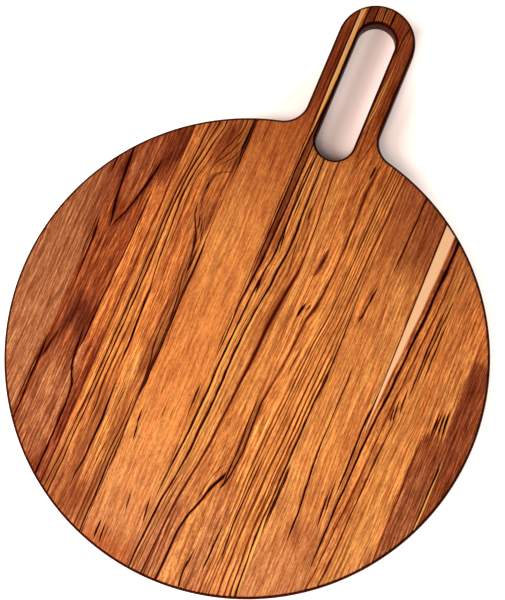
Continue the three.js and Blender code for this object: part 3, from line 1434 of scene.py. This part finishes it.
CENTRE_STAVE = TeakFinish(
    light=Shade.HONEY, dark=Shade.COPPER, bands=0.6, mottle=0.26, lean=0.25, seed=5.0, halo=0.05,
    rings=(
        Rings(-14, 0, 2.1, 0.9, 0.4),
    ),
    patches=(
        Patch((0, 245), (24, 76), Shade.MAHOGANY, 0.95, soft=(6, 24)),
        Patch((2, 276), (16, 16), Shade.UMBER, 0.35, soft=(4, 8)),
        Patch((-12.4, 278), (3, 16), Shade.UMBER, 0.9, soft=(1, 5)),
        Patch((-17.8, 118), (2.4, 62), Shade.UMBER, 0.9, soft=(0.8, 24), ragged=6),
        Patch((3, 100), (5.5, 44), Shade.RUSSET, 0.35, soft=(3, 24)),
        Patch((4, 40), (5, 34), Shade.RUSSET, 0.5, soft=(4, 20)),
        Patch((-8, -150), (9, 40), Shade.TAN, 0.5, soft=(5, 20)),
        Patch((13, -146), (9, 40), Shade.HONEY, 0.5, soft=(4, 24)),
    ),
    streaks=(
        Streak(
            "golden streak of the handle",
            ((-18.5, 286, 3.4), (-18.5, 255, 3.4), (-18.7, 230, 3.2), (-19.1, 205, 2.8),
             (-19.6, 185, 1.6), (-19.7, 160, 0)),
            Shade.PALE, 0.75,
        ),
        Streak(
            "golden edge beside it",
            ((-20.2, 284, 1.6), (-20.2, 250, 1.6), (-20.1, 225, 1.5), (-20, 190, 1), (-19.8, 168, 0)),
            Shade.SAPWOOD, 0.85,
        ),
        Streak(
            "black line along the slot",
            ((-16, 270, 0), (-15.6, 250, 1.4), (-15.7, 215, 1.8), (-17.4, 192, 2), (-19.2, 165, 2),
             (-19.7, 120, 2), (-19.7, 80, 1.6), (-19.7, 50, 0)),
        ),
        Streak(
            "line A",
            ((-14.8, 168, 2), (-15, 130, 2), (-15.7, 90, 2.2), (-17.3, 60, 2.4), (-19.2, 38, 2),
             (-19.7, 8, 1.6), (-19.8, -14, 0)),
        ),
        Streak("dash beside A", ((-10.9, 158, 0), (-11.4, 142, 1.5), (-11.5, 128, 1.5), (-11, 112, 0))),
        Streak(
            "line B",
            ((-9, 174, 0), (-9, 164, 1.6), (-9.8, 124, 1.9), (-9.7, 80, 2.4), (-12.4, 58, 2.4),
             (-14.4, 30, 2.2), (-15.7, 0, 2.4), (-16.6, -40, 2.6), (-17.6, -68, 2.6),
             (-19.3, -88, 2.2), (-20.2, -106, 1.4), (-21.4, -140, 0), (-22.4, -180, 0)),
            leads=True,
        ),
        Streak(
            "bright edge of B, upper",
            ((-8.4, 160, 0), (-8.4, 140, 1), (-8.2, 118, 1), (-8.4, 100, 0)),
            Shade.PALE, 0.8,
        ),
        Streak(
            "bright edge of B, lower",
            ((-12.2, 36, 0), (-12.9, 22, 1), (-14, 0, 1.6), (-14.9, -40, 1.6), (-15.9, -66, 1.4),
             (-17, -84, 0)),
            Shade.PALE, 0.95,
        ),
        Streak(
            "bright edge of C",
            ((-4, 46, 0), (-5.4, 32, 1), (-7.2, 4, 1.2), (-7.7, -36, 1.2), (-8.9, -66, 1.1),
             (-11, -92, 0)),
            Shade.PALE, 0.8,
        ),
        Streak(
            "bright edge of C, upper",
            ((-1, 150, 0), (-0.7, 130, 0.9), (0.2, 108, 1), (0.6, 92, 0)),
            Shade.PALE, 0.6,
        ),
        Streak("branch of B", ((-9.7, 104, 0), (-8.4, 90, 1.8), (-6.4, 74, 0))),
        Streak("fleck under B", ((-12.6, 58, 0), (-12.1, 50, 2.2), (-11.6, 42, 0))),
        Streak("fleck above B", ((-7.7, 126, 0), (-7.3, 116, 1.6), (-6.9, 106, 0))),
        Streak(
            "line C",
            ((-3, 174, 0), (-3, 164, 1.4), (-2.8, 142, 1.6), (-1.9, 112, 2.2), (-1.1, 94, 2.6),
             (-3.4, 62, 2.6), (-5.4, 40, 2.4), (-7.2, 26, 2.2), (-8.9, 0, 2.6), (-9.4, -38, 2.8),
             (-11.2, -75, 2.6), (-14.6, -110, 2.2), (-17.8, -134, 2.4), (-19.9, -174, 2.2)),
            leads=True,
        ),
        Streak(
            "line D",
            ((8.2, 174, 0), (8.2, 164, 1.6), (9, 130, 1.6), (10.8, 100, 1.8), (11.6, 76, 2.6),
             (10, 60, 4.6), (7.4, 40, 5.4), (5.4, 12, 5), (4.3, -12, 4.2), (2.4, -32, 3),
             (0.6, -62, 2.6), (-1.6, -85, 2.4), (-5.2, -106, 2), (-7.6, -130, 2), (-10, -178, 2.2)),
            depth=0.92, core=0.15, leads=True,
        ),
        Streak(
            "shade of D",
            ((11, 84, 0), (9, 62, 9), (6, 30, 10), (4, 0, 8), (3, -30, 0)),
            Shade.UMBER, 0.15, core=0.0,
        ),
        Streak("branch of D", ((1.4, 98, 0), (3, 82, 1.6), (5.8, 60, 0)), depth=0.7),
        Streak("fleck above D", ((2.7, 121, 0), (3, 114, 1.6), (3.2, 106, 0)), depth=0.8),
        Streak(
            "line F",
            ((22.4, -80, 0), (21, -85, 5), (18.5, -90, 4.6), (13.5, -100, 3.8), (9, -114, 2.8),
             (4.4, -129, 2.6), (2.5, -141, 2.6), (2.2, -160, 2.8), (1.5, -180, 2.4)),
        ),
        Streak(
            "line over F",
            ((19, -79, 0), (13, -87, 1.4), (8.5, -103, 1.4), (6, -116, 0)),
            depth=0.6,
        ),
        Streak("line left of F", ((-4.4, -112, 0), (-4.9, -140, 1.5), (-5.2, -178, 1.5)), depth=0.6),
        Streak(
            "foot line, first",
            ((-11, -92, 0), (-14.2, -126, 1.3), (-15.8, -150, 1.3), (-17.2, -176, 1.3)),
            depth=0.55,
        ),
        Streak(
            "foot line, second",
            ((-7.6, -88, 0), (-11.2, -124, 1.4), (-13.4, -150, 1.4), (-14.8, -177, 1.4)),
            depth=0.6,
        ),
        Streak(
            "foot line, third",
            ((-1.6, -92, 0), (-5.2, -112, 1.3), (-7.4, -136, 1.4), (-8, -178, 1.4)),
            depth=0.65,
        ),
        Streak("foot line, fourth", ((-1, -118, 0), (-2.2, -140, 1.2), (-2, -179, 1.2)), depth=0.5),
        Streak(
            "bracket at the rim",
            ((21.4, -138, 0), (20.4, -144, 1.8), (18.4, -156, 2.2), (17.6, -165, 2), (19.6, -177, 2)),
        ),
        Streak("tip line, left", ((-8.4, 287, 2), (-8.6, 274, 2), (-9.4, 264, 0))),
        Streak("tip line, middle", ((-2.6, 287, 1.8), (-2.7, 272, 1.8), (-2.9, 262, 0))),
        Streak("tip line, right", ((4.7, 287, 1.9), (4.5, 272, 1.9), (4.3, 262, 0))),
        Streak("tip line, faint", ((11.4, 285, 1), (11.2, 268, 1), (11, 258, 0)), depth=0.6),
        Streak("diagonal line", ((19.4, 280, 1), (17.8, 268, 1.6), (16.8, 258, 1.4), (16.4, 246, 0))),
        Streak(
            "pale wave, outer",
            ((20, 254, 0), (19, 236, 1.4), (18.7, 218, 1.3), (18.4, 206, 1.3), (16.6, 194, 1),
             (15.6, 184, 0)),
            Shade.PALE, 0.55,
        ),
        Streak(
            "pale wave, inner",
            ((18.4, 234, 0), (17.2, 220, 1), (16.4, 204, 1), (15.8, 194, 0)),
            Shade.PALE, 0.5,
        ),
        Streak(
            "thin line of the rail",
            ((18, 198, 0), (18.6, 186, 1.4), (19.2, 174, 1.4), (18, 162, 0)),
            depth=0.7,
        ),
    ),
)


RIGHT_STAVE_1 = TeakFinish(
    light=Shade.MARIGOLD, dark=Shade.COPPER, bands=0.5, mottle=0.3, lean=-0.5, seed=6.0, halo=0.08,
    rings=(
        Rings(38, 60.4, 2.3, 1.1, 0.85),
    ),
    patches=(
        Patch((36, 235), (20, 60), Shade.MAHOGANY, 0.95, soft=(6, 26)),
        Patch((25, 255), (8, 30), Shade.UMBER, 0.3, soft=(3, 20)),
        # Painted shade: the top of the stave darker, towards the handle.
        Patch((40, 160), (30, 30), Shade.RUSSET, 0.5, soft=(6, 26)),
        Patch((22.2, -62), (3, 36), Shade.UMBER, 0.6, soft=(1.6, 18)),
        Patch((27, -150), (8, 40), Shade.DUSTY, 0.4, soft=(5, 14)),
        Patch((46, -60), (14, 110), Shade.MARIGOLD, 0.45, soft=(4, 40)),
        # Painted shade: darker along the near rim at the foot.
        Patch((43, -174), (22, 12), Shade.RUSSET, 0.35, soft=(6, 8)),
    ),
    streaks=(
        Streak(
            "main line",
            ((37.6, 168, 1.4), (36.4, 152, 3.6), (35.7, 138, 3.6), (36.3, 116, 3), (36.2, 92, 2.6),
             (34.8, 64, 3), (33.2, 50, 4), (30.2, 36, 3.2), (28.4, 12, 2.4), (26, -9, 2.8),
             (23.4, -30, 2.6), (22.6, -44, 0)),
            depth=0.85, core=0.1, leads=True,
        ),
        Streak(
            "rail line, inner",
            ((21.6, 262, 0), (22.2, 236, 1.5), (22, 206, 1.4), (21.8, 184, 0)),
            depth=0.5,
        ),
        Streak(
            "rail line, outer",
            ((26.4, 256, 0), (26.8, 230, 1.5), (26.4, 202, 1.5), (27.4, 184, 0)),
            Shade.UMBER, 0.8,
        ),
        Streak("pin knot, core", ((25.4, 90, 0), (25, 83, 2.2), (24.2, 75, 0)), depth=0.8),
        Streak("fleck beside it", ((34.7, 167, 0), (34.2, 160, 2.4), (33.9, 153, 0))),
        Streak(
            "line of the root",
            ((28, 190, 0), (25.6, 178, 1.5), (21, 158, 1), (19.6, 150, 0)),
            depth=0.75,
        ),
        Streak(
            "pin knot",
            ((25.6, 95, 0), (25.3, 86, 5.6), (24.6, 78, 5.4), (23, 69, 0)),
            Shade.UMBER, 0.9,
        ),
        Streak("fleck under it", ((25.8, 51, 0), (24.6, 44, 3), (23.4, 37, 0))),
        Streak("dot beside it", ((29.6, 51, 0), (28.8, 47.5, 2), (27.8, 44, 0)), depth=0.85),
        Streak(
            "dark edge, right",
            ((23.8, -20, 0), (23.6, -44, 1.6), (24.4, -62, 1.8), (23.2, -82, 1.8), (20.8, -94, 2.4),
             (19, -100, 0)),
        ),
        Streak(
            "dark edge, left",
            ((19.9, -22, 0), (20, -46, 1.6), (20.6, -62, 1.5), (20.3, -82, 1.8), (20.2, -98, 0)),
        ),
        Streak("thin line", ((35, 24, 0), (34, 8, 1.6), (33, -10, 0)), depth=0.75),
        Streak(
            "first ring",
            ((49, 172, 1.2), (46.6, 118, 1.5), (46, 86, 1.4), (44.2, 48, 1.5), (41.6, 22, 1.5),
             (39.6, -16, 1.4), (37.4, -56, 1.3), (36.7, -90, 1.3), (36.6, -124, 0)),
            depth=0.65, leads=True,
        ),
        Streak(
            "middle ring",
            ((58.8, 172, 1.2), (56.5, 115, 1.3), (54.4, 66, 1.4), (50.6, 10, 1.3), (48.6, -34, 1.4),
             (46.2, -76, 1.4), (45.4, -122, 1.4), (46.4, -168, 1.2)),
            depth=0.65, leads=True,
        ),
        Streak(
            "strong ring",
            ((61, 26, 0), (59.4, 0, 1.7), (57.8, -40, 2), (57, -76, 1.8), (56.2, -122, 1.8),
             (57.2, -148, 1.8), (59, -168, 1.9)),
            leads=True,
        ),
        Streak(
            "ring inside it",
            ((59.4, 30, 0), (57.2, 0, 1.5), (55.2, -32, 1.7), (53.4, -66, 1.4), (52.5, -106, 1.4),
             (53.4, -146, 1.4), (55.6, -170, 1.3)),
            depth=0.7,
        ),
        Streak(
            "pale band",
            ((59.9, -14, 0), (59.4, -46, 1.6), (59, -86, 2), (58.3, -116, 2.2), (58.7, -146, 2.2),
             (60, -166, 1.8)),
            Shade.PALE, 0.9,
        ),
        Streak("black joint", ((59.8, -58, 0), (59.4, -76, 2.2), (59, -100, 2.2), (59.6, -120, 0))),
        Streak(
            "low ring",
            ((40.2, -54, 0), (39.2, -84, 1.7), (38, -116, 2), (38.6, -132, 2.2), (39.8, -148, 0)),
            depth=0.9,
        ),
        Streak(
            "dash at the foot",
            ((31.8, -118, 0), (30.8, -136, 2.2), (30.3, -150, 2), (29.9, -158, 0)),
        ),
    ),
)


RIGHT_STAVE_2 = TeakFinish(
    light=Shade.HONEY, dark=Shade.COPPER, bands=0.6, mottle=0.2, lean=0.6, seed=7.0,
    patches=(
        # Painted shade: the top of the stave darker, towards the handle.
        Patch((80, 160), (24, 54), Shade.CHESTNUT, 0.7, soft=(6, 44)),
        Patch((89, 128), (9, 28), Shade.UMBER, 0.4, soft=(5, 18)),
        Patch((88, -106), (10, 10), Shade.CHESTNUT, 0.4, soft=(5, 8), ragged=14),
    ),
    streaks=(
        Streak(
            "line at the top",
            ((78.9, 164, 1.9), (77.8, 134, 2), (77, 110, 1.8), (76.5, 92, 0)),
            depth=0.9,
        ),
        Streak("slanting dash", ((70, 84, 0), (68.8, 70, 2.2), (67.4, 59, 2.2), (66.2, 50, 0))),
        Streak("small dash", ((67.4, 82, 0), (66.8, 74, 1.4), (66.2, 66, 0)), Shade.UMBER, 0.7),
        Streak(
            "long line",
            ((74.7, 24, 0), (74.7, 8, 1.5), (74.5, -24, 1.3), (75, -54, 1.9), (77, -78, 2.3),
             (77.9, -100, 2.6), (77.9, -118, 0)),
            leads=True,
        ),
        Streak(
            "line at the right",
            ((100.2, 22, 0), (99, -4, 2), (98, -32, 2.3), (98.2, -54, 2.2), (98, -74, 0)),
        ),
        Streak("pair, right", ((94.1, -60, 0), (95, -75, 2), (97, -90, 0))),
        Streak("pair, left", ((93, -68, 0), (93.5, -84, 2.4), (95, -101, 0))),
        Streak(
            "dark joint, left",
            ((59.8, 62, 0), (59.7, 46, 2.2), (60, 28, 1.4), (60, 4, 2.2), (59.7, -16, 0), (60, -60, 0),
             (60.1, -74, 2.2), (59.8, -94, 2), (60.2, -114, 0)),
        ),
        Streak(
            "dark joint, right",
            ((99, 152, 2.6), (99.1, 112, 1.8), (99.4, 40, 1.4), (99.6, 0, 0)),
            depth=0.85,
        ),
    ),
)


RIGHT_STAVE_3 = TeakFinish(
    light=Shade.HONEY, dark=Shade.COPPER, bands=0.8, mottle=0.26, lean=-0.7, seed=8.0,
    rings=(
        Rings(113, 128, 3.4, 0.9, 0.3),
    ),
    patches=(
        # Painted shade: the top of the stave darker, towards the handle.
        Patch((125, 136), (24, 40), Shade.CHESTNUT, 0.5, soft=(6, 34)),
        Patch((128, 50), (16, 60), Shade.COPPER, 0.15, soft=(6, 30)),
        Patch((114, -126), (16, 34), Shade.HONEY, 0.5, soft=(4, 20)),
    ),
    streaks=(
        Streak(
            "sapwood",
            ((99.7, 150, 23), (99.7, 110, 20.4), (99.7, 80, 17.2), (99.7, 45, 12), (99.9, 15, 5.6),
             (100.2, -22, 0)),
            Shade.SAPWOOD, 1.0, core=0.72,
        ),
        Streak(
            "brown beside it",
            ((110.2, 146, 2.6), (109.2, 108, 2.4), (107.8, 74, 2.2), (105.4, 36, 1.8), (103.2, 8, 1.2),
             (102, -8, 0)),
            Shade.UMBER, 0.75,
        ),
        Streak(
            "black line",
            ((113, 146, 3.6), (112.2, 118, 3.4), (110.7, 78, 3.2), (108.2, 36, 3), (105.4, 2, 2.8),
             (103.2, -26, 2.6), (101.9, -68, 2.6), (101, -108, 2.4), (100.8, -132, 0)),
            leads=True,
        ),
        Streak(
            "second line",
            ((117.6, 122, 0), (117.4, 92, 1.6), (115.2, 56, 1.7), (112.8, 20, 1.4), (110.6, -25, 1.4),
             (107.6, -82, 1.4), (105.2, -122, 1.5), (102.4, -148, 1.5)),
            depth=0.7, leads=True,
        ),
        Streak(
            "dash, left",
            ((122.7, 96, 0), (121.4, 76, 1.4), (120.6, 52, 1.7), (120.5, 26, 1.5), (120.3, 12, 0)),
        ),
        Streak(
            "dash, middle",
            ((125.7, 96, 0), (124.4, 80, 1.6), (123.4, 62, 1.7), (122.2, 42, 1.3), (121.5, 22, 0)),
        ),
        Streak("dash, right", ((127, 84, 0), (126.3, 62, 1.5), (126, 44, 1.7), (125.7, 28, 0))),
        Streak("dash at the top", ((126.4, 122, 0), (126, 110, 1.6), (125.6, 96, 0)), Shade.UMBER, 0.8),
        Streak("tick, upper", ((117.5, 22, 0), (118.1, 10, 2.2), (119.2, -1, 0))),
        Streak("tick, middle", ((115, 11, 0), (115.9, 0, 2.2), (116.8, -8, 0))),
        Streak("tick, lower", ((113.7, 5, 0), (114.2, -2, 1.9), (115, -10, 0))),
        Streak(
            "low line",
            ((118.2, -2, 0), (116.6, -20, 1.6), (115, -40, 2), (113.8, -75, 1.8), (112.4, -106, 2),
             (110.2, -142, 2)),
            depth=0.85, leads=True,
        ),
        Streak("dark joint", ((139.8, 6, 0), (139.7, -44, 1.2), (139.8, -98, 0.8)), depth=0.6),
    ),
)


RIGHT_STAVE_4 = TeakFinish(
    light=Shade.AMBER, dark=Shade.RUSSET, bands=0.5, mottle=0.34, lean=0.8, seed=9.0,
    patches=(
        Patch((148, 34), (8, 30), Shade.HONEY, 0.7, soft=(4, 14)),
        Patch((171, -26), (15.6, 82), Shade.CHESTNUT, 0.9, soft=(0.5, 2.5), ragged=2),
        Patch((162, 8), (7, 40), Shade.UMBER, 0.35, soft=(4, 26), ragged=2),
        Patch((150.5, -64), (9.6, 59), Shade.CHESTNUT, 0.85, soft=(0.8, 3), ragged=4),
        Patch((150.5, -80), (9.6, 50), Shade.DUSTY, 0.35, soft=(2, 20), ragged=4),
        Patch((174, -20), (4, 50), Shade.RUSSET, 0.25, soft=(4, 16)),
    ),
    streaks=(
        Streak("tooth, first", ((145.9, 14, 0), (145.7, 3, 2), (145.4, -14, 0))),
        Streak("tooth, second", ((147.7, 15, 0), (147.4, 3, 1.9), (147, -11, 0))),
        Streak("tooth, third", ((149.8, 16, 0), (150, 4, 2.2), (150.9, -9, 0))),
        Streak("tooth, fourth", ((152.4, 19, 0), (152.7, 5, 2.5), (153.9, -8, 0))),
        Streak(
            "bright line",
            ((154.4, 26, 0), (154.4, 14, 1.2), (154.9, 3, 1.4), (155.6, -10, 0)),
            Shade.PALE, 0.8,
        ),
        Streak("bright tip", ((151.2, 16, 0), (151.4, 8, 1), (151.9, 0, 0)), Shade.PALE, 0.7),
        Streak(
            "low black line",
            ((158, -20, 0), (159.7, -30, 2.4), (159.1, -44, 1.8), (158.4, -74, 1.2)),
        ),
        Streak(
            "low bright line",
            ((160.8, -16, 0), (160.7, -36, 1.1), (159.9, -54, 1.7), (159, -78, 1.6)),
            Shade.PALE, 0.9,
        ),
        Streak(
            "dark joint",
            ((140.4, -8, 0), (140.4, -22, 1.2), (140.5, -50, 1.4), (140.4, -92, 1)),
            depth=0.7,
        ),
    ),
)

FIGURES: dict[str, TeakFinish] = {
    "left_stave_4": LEFT_STAVE_4,
    "left_stave_3": LEFT_STAVE_3,
    "left_stave_2": LEFT_STAVE_2,
    "left_stave_1": LEFT_STAVE_1,
    "centre_stave": CENTRE_STAVE,
    "right_stave_1": RIGHT_STAVE_1,
    "right_stave_2": RIGHT_STAVE_2,
    "right_stave_3": RIGHT_STAVE_3,
    "right_stave_4": RIGHT_STAVE_4,
}


class Board:
    """The glued board: every stave and glue film of the frame, sliced from one moulded panel."""

    def __init__(self, sizes: BoardSizes) -> None:
        """Gets the outline, the tree and the finishes ready.

        Args:
            sizes: the board's sizes.
        """
        self.sizes = sizes
        self.outline = Outline(sizes).curve_object()
        self.tree = StaveTree()
        self.glue = GlueFinish().material("cured_glue")
        self.slots = {part["node"]: part["material_slot"] for part in frame["record"]["subparts"]}

    def build(self) -> list[bpy.types.Object]:
        """Builds, dresses and seats every piece.

        Returns:
            The pieces in order.
        """
        pieces = [self.piece(node) for node in sorted(frame["nodes"])]
        bpy.data.objects.remove(self.outline)
        return pieces

    def piece(self, node: str) -> bpy.types.Object:
        """One stave or glue film in place of its node.

        Args:
            node: the node's name in the frame.

        Returns:
            The new piece.
        """
        low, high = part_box(node)
        planes = (low[0], high[0])
        if node in FIGURES:
            planes_mm = (planes[0] / MM, planes[1] / MM)
            surface = TeakSurface(f"{node}_teak", FIGURES[node], planes_mm, self.sizes.thickness / MM)
            finish = surface.material()
            name = f"{node}_wood"
        else:
            finish = self.glue
            name = f"{node}_film"
        piece = self.tree.make(name, self.sizes, self.outline, planes, finish)
        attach(piece, BODY)
        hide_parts(node)
        width_mm = (planes[1] - planes[0]) / MM
        log.info("%s: %d faces, %.1f mm wide", name, len(piece.data.polygons), width_mm)
        return piece


@dataclass(frozen=True)
class Viewpoint:
    """The camera as the photograph was taken, found from the board's outline and joints.

    Attributes:
        aim: the point on the resting plane at the middle of the picture.
        distance: from that point to the camera.
        tilt: how far the line of sight leans off the upright, in degrees.
        way: the direction that it leans in, from +X, in degrees.
        roll: how far the picture's upright is turned from +Y, in degrees.
        focal_pixels: focal length in pixels of the picture.
        picture_height: of the picture, in pixels.
        sensor: height of the camera's sensor, in Blender's millimetres.
    """

    aim: Place = (-12.2 * MM, 40.1 * MM)
    distance: float = 1.3
    tilt: float = 10.15
    way: float = -62.8
    roll: float = 22.47
    focal_pixels: float = 1749.0
    picture_height: float = 600.0
    sensor: float = 36.0

    def build(self) -> None:
        """Makes the camera and gives it to the scene."""
        tilt, way, roll = (math.radians(angle) for angle in (self.tilt, self.way, self.roll))
        back = Vector((math.sin(tilt) * math.cos(way), math.sin(tilt) * math.sin(way), math.cos(tilt)))
        hint = Vector((-math.sin(roll), math.cos(roll), 0.0))
        right = hint.cross(back).normalized()
        above = back.cross(right)
        eye = Vector((*self.aim, 0.0)) + back * self.distance
        data = bpy.data.cameras.new("photograph")
        data.sensor_fit = "VERTICAL"
        data.sensor_height = self.sensor
        data.lens = self.focal_pixels / self.picture_height * self.sensor
        camera = bpy.data.objects.new("photograph", data)
        axes = Matrix((right, above, back)).transposed().to_4x4()
        camera.matrix_world = Matrix.Translation(eye) @ axes
        bpy.context.scene.collection.objects.link(camera)
        bpy.context.scene.camera = camera


@dataclass(frozen=True)
class SoftBox:
    """A square studio lamp.

    Attributes:
        name: of the lamp.
        place: of its middle.
        target: the point it faces.
        width: of its side.
        watts: its power.
    """

    name: str
    place: Point
    target: Point
    width: float
    watts: float

    def build(self) -> None:
        """Makes the lamp."""
        data = bpy.data.lights.new(self.name, "AREA")
        data.shape = "SQUARE"
        data.size = self.width
        data.energy = self.watts
        lamp = bpy.data.objects.new(self.name, data)
        lamp.location = self.place
        facing = Vector(self.target) - Vector(self.place)
        lamp.rotation_euler = facing.to_track_quat("-Z", "Y").to_euler()
        bpy.context.scene.collection.objects.link(lamp)


@dataclass(frozen=True)
class Studio:
    """The pale floor, the soft lamps and the plain surroundings.

    Attributes:
        sizes: the board's sizes.
        floor_width: of the floor.
        floor_gap: between the floor and the board's underside, so that the two never flicker.
        ambient: strength of the even light from all round.
        glow: how much of the floor's white is seen without any lamp, away from the board.
        glow_root: the same, beside the root of the handle.
        glow_reach: distances from the root between which it goes from one to the other.
        glow_inside: the same, at the left, in the middle and at the right of the slot.
        glow_right: shares of the slot's half width between which it goes from middle to right.
        glow_rise: length over which it rises from the slot's near end.
        glow_edge: over which distance it goes from the slot's to that outside.
        lamps: the soft boxes.
    """

    sizes: BoardSizes
    floor_width: float = 12.0
    floor_gap: float = 0.1 * MM
    ambient: float = 0.16
    glow: float = 1.0
    glow_root: float = 0.38
    glow_reach: Place = (0.035, 0.1)
    glow_inside: Point = (0.4, 0.06, 0.35)
    glow_right: Place = (0.3, 0.9)
    glow_rise: float = 0.05
    glow_edge: float = 0.02
    lamps: tuple[SoftBox, ...] = (
        SoftBox("key", (-0.12, -0.4, 0.85), (0.0, -0.02, 0.0), 0.5, 5.3),
        SoftBox("side", (-1.3, -0.7, 1.15), (0.0, 0.0, 0.0), 0.7, 24.0),
    )

    def build(self) -> None:
        """Builds the floor, the lamps and the surroundings, and sets the view."""
        bpy.context.scene.view_settings.view_transform = "Standard"
        self.floor()
        self.surroundings()
        for lamp in self.lamps:
            lamp.build()

    def floor(self) -> None:
        """A plain floor, which looks white and keeps the board's shadow."""
        half = self.floor_width / 2
        square = ((-half, -half), (half, -half), (half, half), (-half, half))
        corners = [(x, y, -self.floor_gap) for x, y in square]
        mesh = bpy.data.meshes.new("studio_floor")
        mesh.from_pydata(corners, [], [tuple(range(len(corners)))])
        floor = bpy.data.objects.new("studio_floor", mesh)
        bpy.context.scene.collection.objects.link(floor)
        mesh.materials.append(self.floor_finish())

    def floor_finish(self) -> bpy.types.Material:
        """Matt white, with a glow that is seen and lights nothing.

        Returns:
            The material.
        """
        sketch = FinishSketch("studio_floor")
        matt = sketch.add("ShaderNodeBsdfDiffuse", {"Color": Shade.FLOOR.linear()}).outputs[0]
        colour, strength = Shade.GLOW.linear(), self.glow_strength(sketch)
        glow = sketch.add("ShaderNodeEmission", {"Color": colour, "Strength": strength}).outputs[0]
        both = sketch.add("ShaderNodeAddShader", {0: matt, 1: glow}).outputs[0]
        shown = sketch.add("ShaderNodeMixShader", {0: self.seen(sketch), 1: matt, 2: both}).outputs[0]
        sketch.add("ShaderNodeOutputMaterial", {"Surface": shown})
        return sketch.material

    def glow_strength(self, sketch: FinishSketch) -> Socket:
        """How strongly the floor glows: least in the slot and by the root of the handle, where the
        lower glow paints the shadow deeper, darkest in the middle of the slot and at its near end.

        Args:
            sketch: the floor's tree.

        Returns:
            The strength.
        """
        sizes = self.sizes
        place = sketch.add("ShaderNodeTexCoord").outputs["Object"]
        x, y, _ = sketch.split(place)
        root = (0.0, sizes.radius, 0.0)
        from_root = sketch.add("ShaderNodeVectorMath", {0: place, 1: root}, operation="DISTANCE")
        distance = from_root.outputs["Value"]
        # Less glow beside the root of the handle paints its shadow deeper.
        outside = sketch.ranged(distance, *self.glow_reach, self.glow_root, self.glow, smooth=True)
        # Painted shadow in the slot: the glow is lowest in its middle and at its near end.
        left, centre, right = self.glow_inside
        start, end = (share * sizes.slot_radius for share in self.glow_right)
        inside = sketch.math(
            "ADD",
            sketch.ranged(x, -sizes.slot_radius, 0.0, left, centre),
            sketch.ranged(x, start, end, 0.0, right - centre),
        )
        near_end = sizes.slot_foot - sizes.slot_radius
        inside = sketch.math("MULTIPLY", inside, sketch.ranged(y, near_end, near_end + self.glow_rise))
        middle = (sizes.slot_foot + sizes.loop_centre) / 2
        aside = sketch.math("SUBTRACT", sketch.math("ABSOLUTE", x), sizes.slot_radius)
        beyond = sketch.math("SUBTRACT", sketch.apart(y, middle), sizes.slot_length / 2)
        away = sketch.math("MAXIMUM", aside, beyond)
        return sketch.ranged(away, 0.0, self.glow_edge, inside, outside)

    def seen(self, sketch: Sketch) -> Socket:
        """1 for what is seen, straight or in a reflection, and 0 for light that falls on things.

        Args:
            sketch: the tree to add it to.

        Returns:
            The switch.
        """
        path = sketch.add("ShaderNodeLightPath").outputs
        either = sketch.math("MAXIMUM", path["Is Camera Ray"], path["Is Transmission Ray"])
        return sketch.math("MAXIMUM", either, path["Is Glossy Ray"])

    def surroundings(self) -> None:
        """Even light from all round, seen as white."""
        world = bpy.data.worlds.new("studio")
        world.use_nodes = True
        world.node_tree.nodes.clear()
        bpy.context.scene.world = world
        sketch = Sketch(world.node_tree)
        seen = sketch.add("ShaderNodeLightPath").outputs["Is Camera Ray"]
        strength = sketch.add("ShaderNodeMapRange", {0: seen, 3: self.ambient, 4: 1.0}).outputs[0]
        white = Shade.WHITE.linear()
        light = sketch.add("ShaderNodeBackground", {"Color": white, "Strength": strength}).outputs[0]
        sketch.add("ShaderNodeOutputWorld", {"Surface": light})


def main() -> None:
    """Builds the camera, the board and the studio, in that order."""
    logging.basicConfig(level=logging.INFO, format="%(name)s %(message)s")
    Viewpoint().build()
    sizes = BoardSizes.from_frame()
    pieces = Board(sizes).build()
    Studio(sizes).build()
    log.info("pieces: %d", len(pieces))


if __name__ == "__main__":
    main()
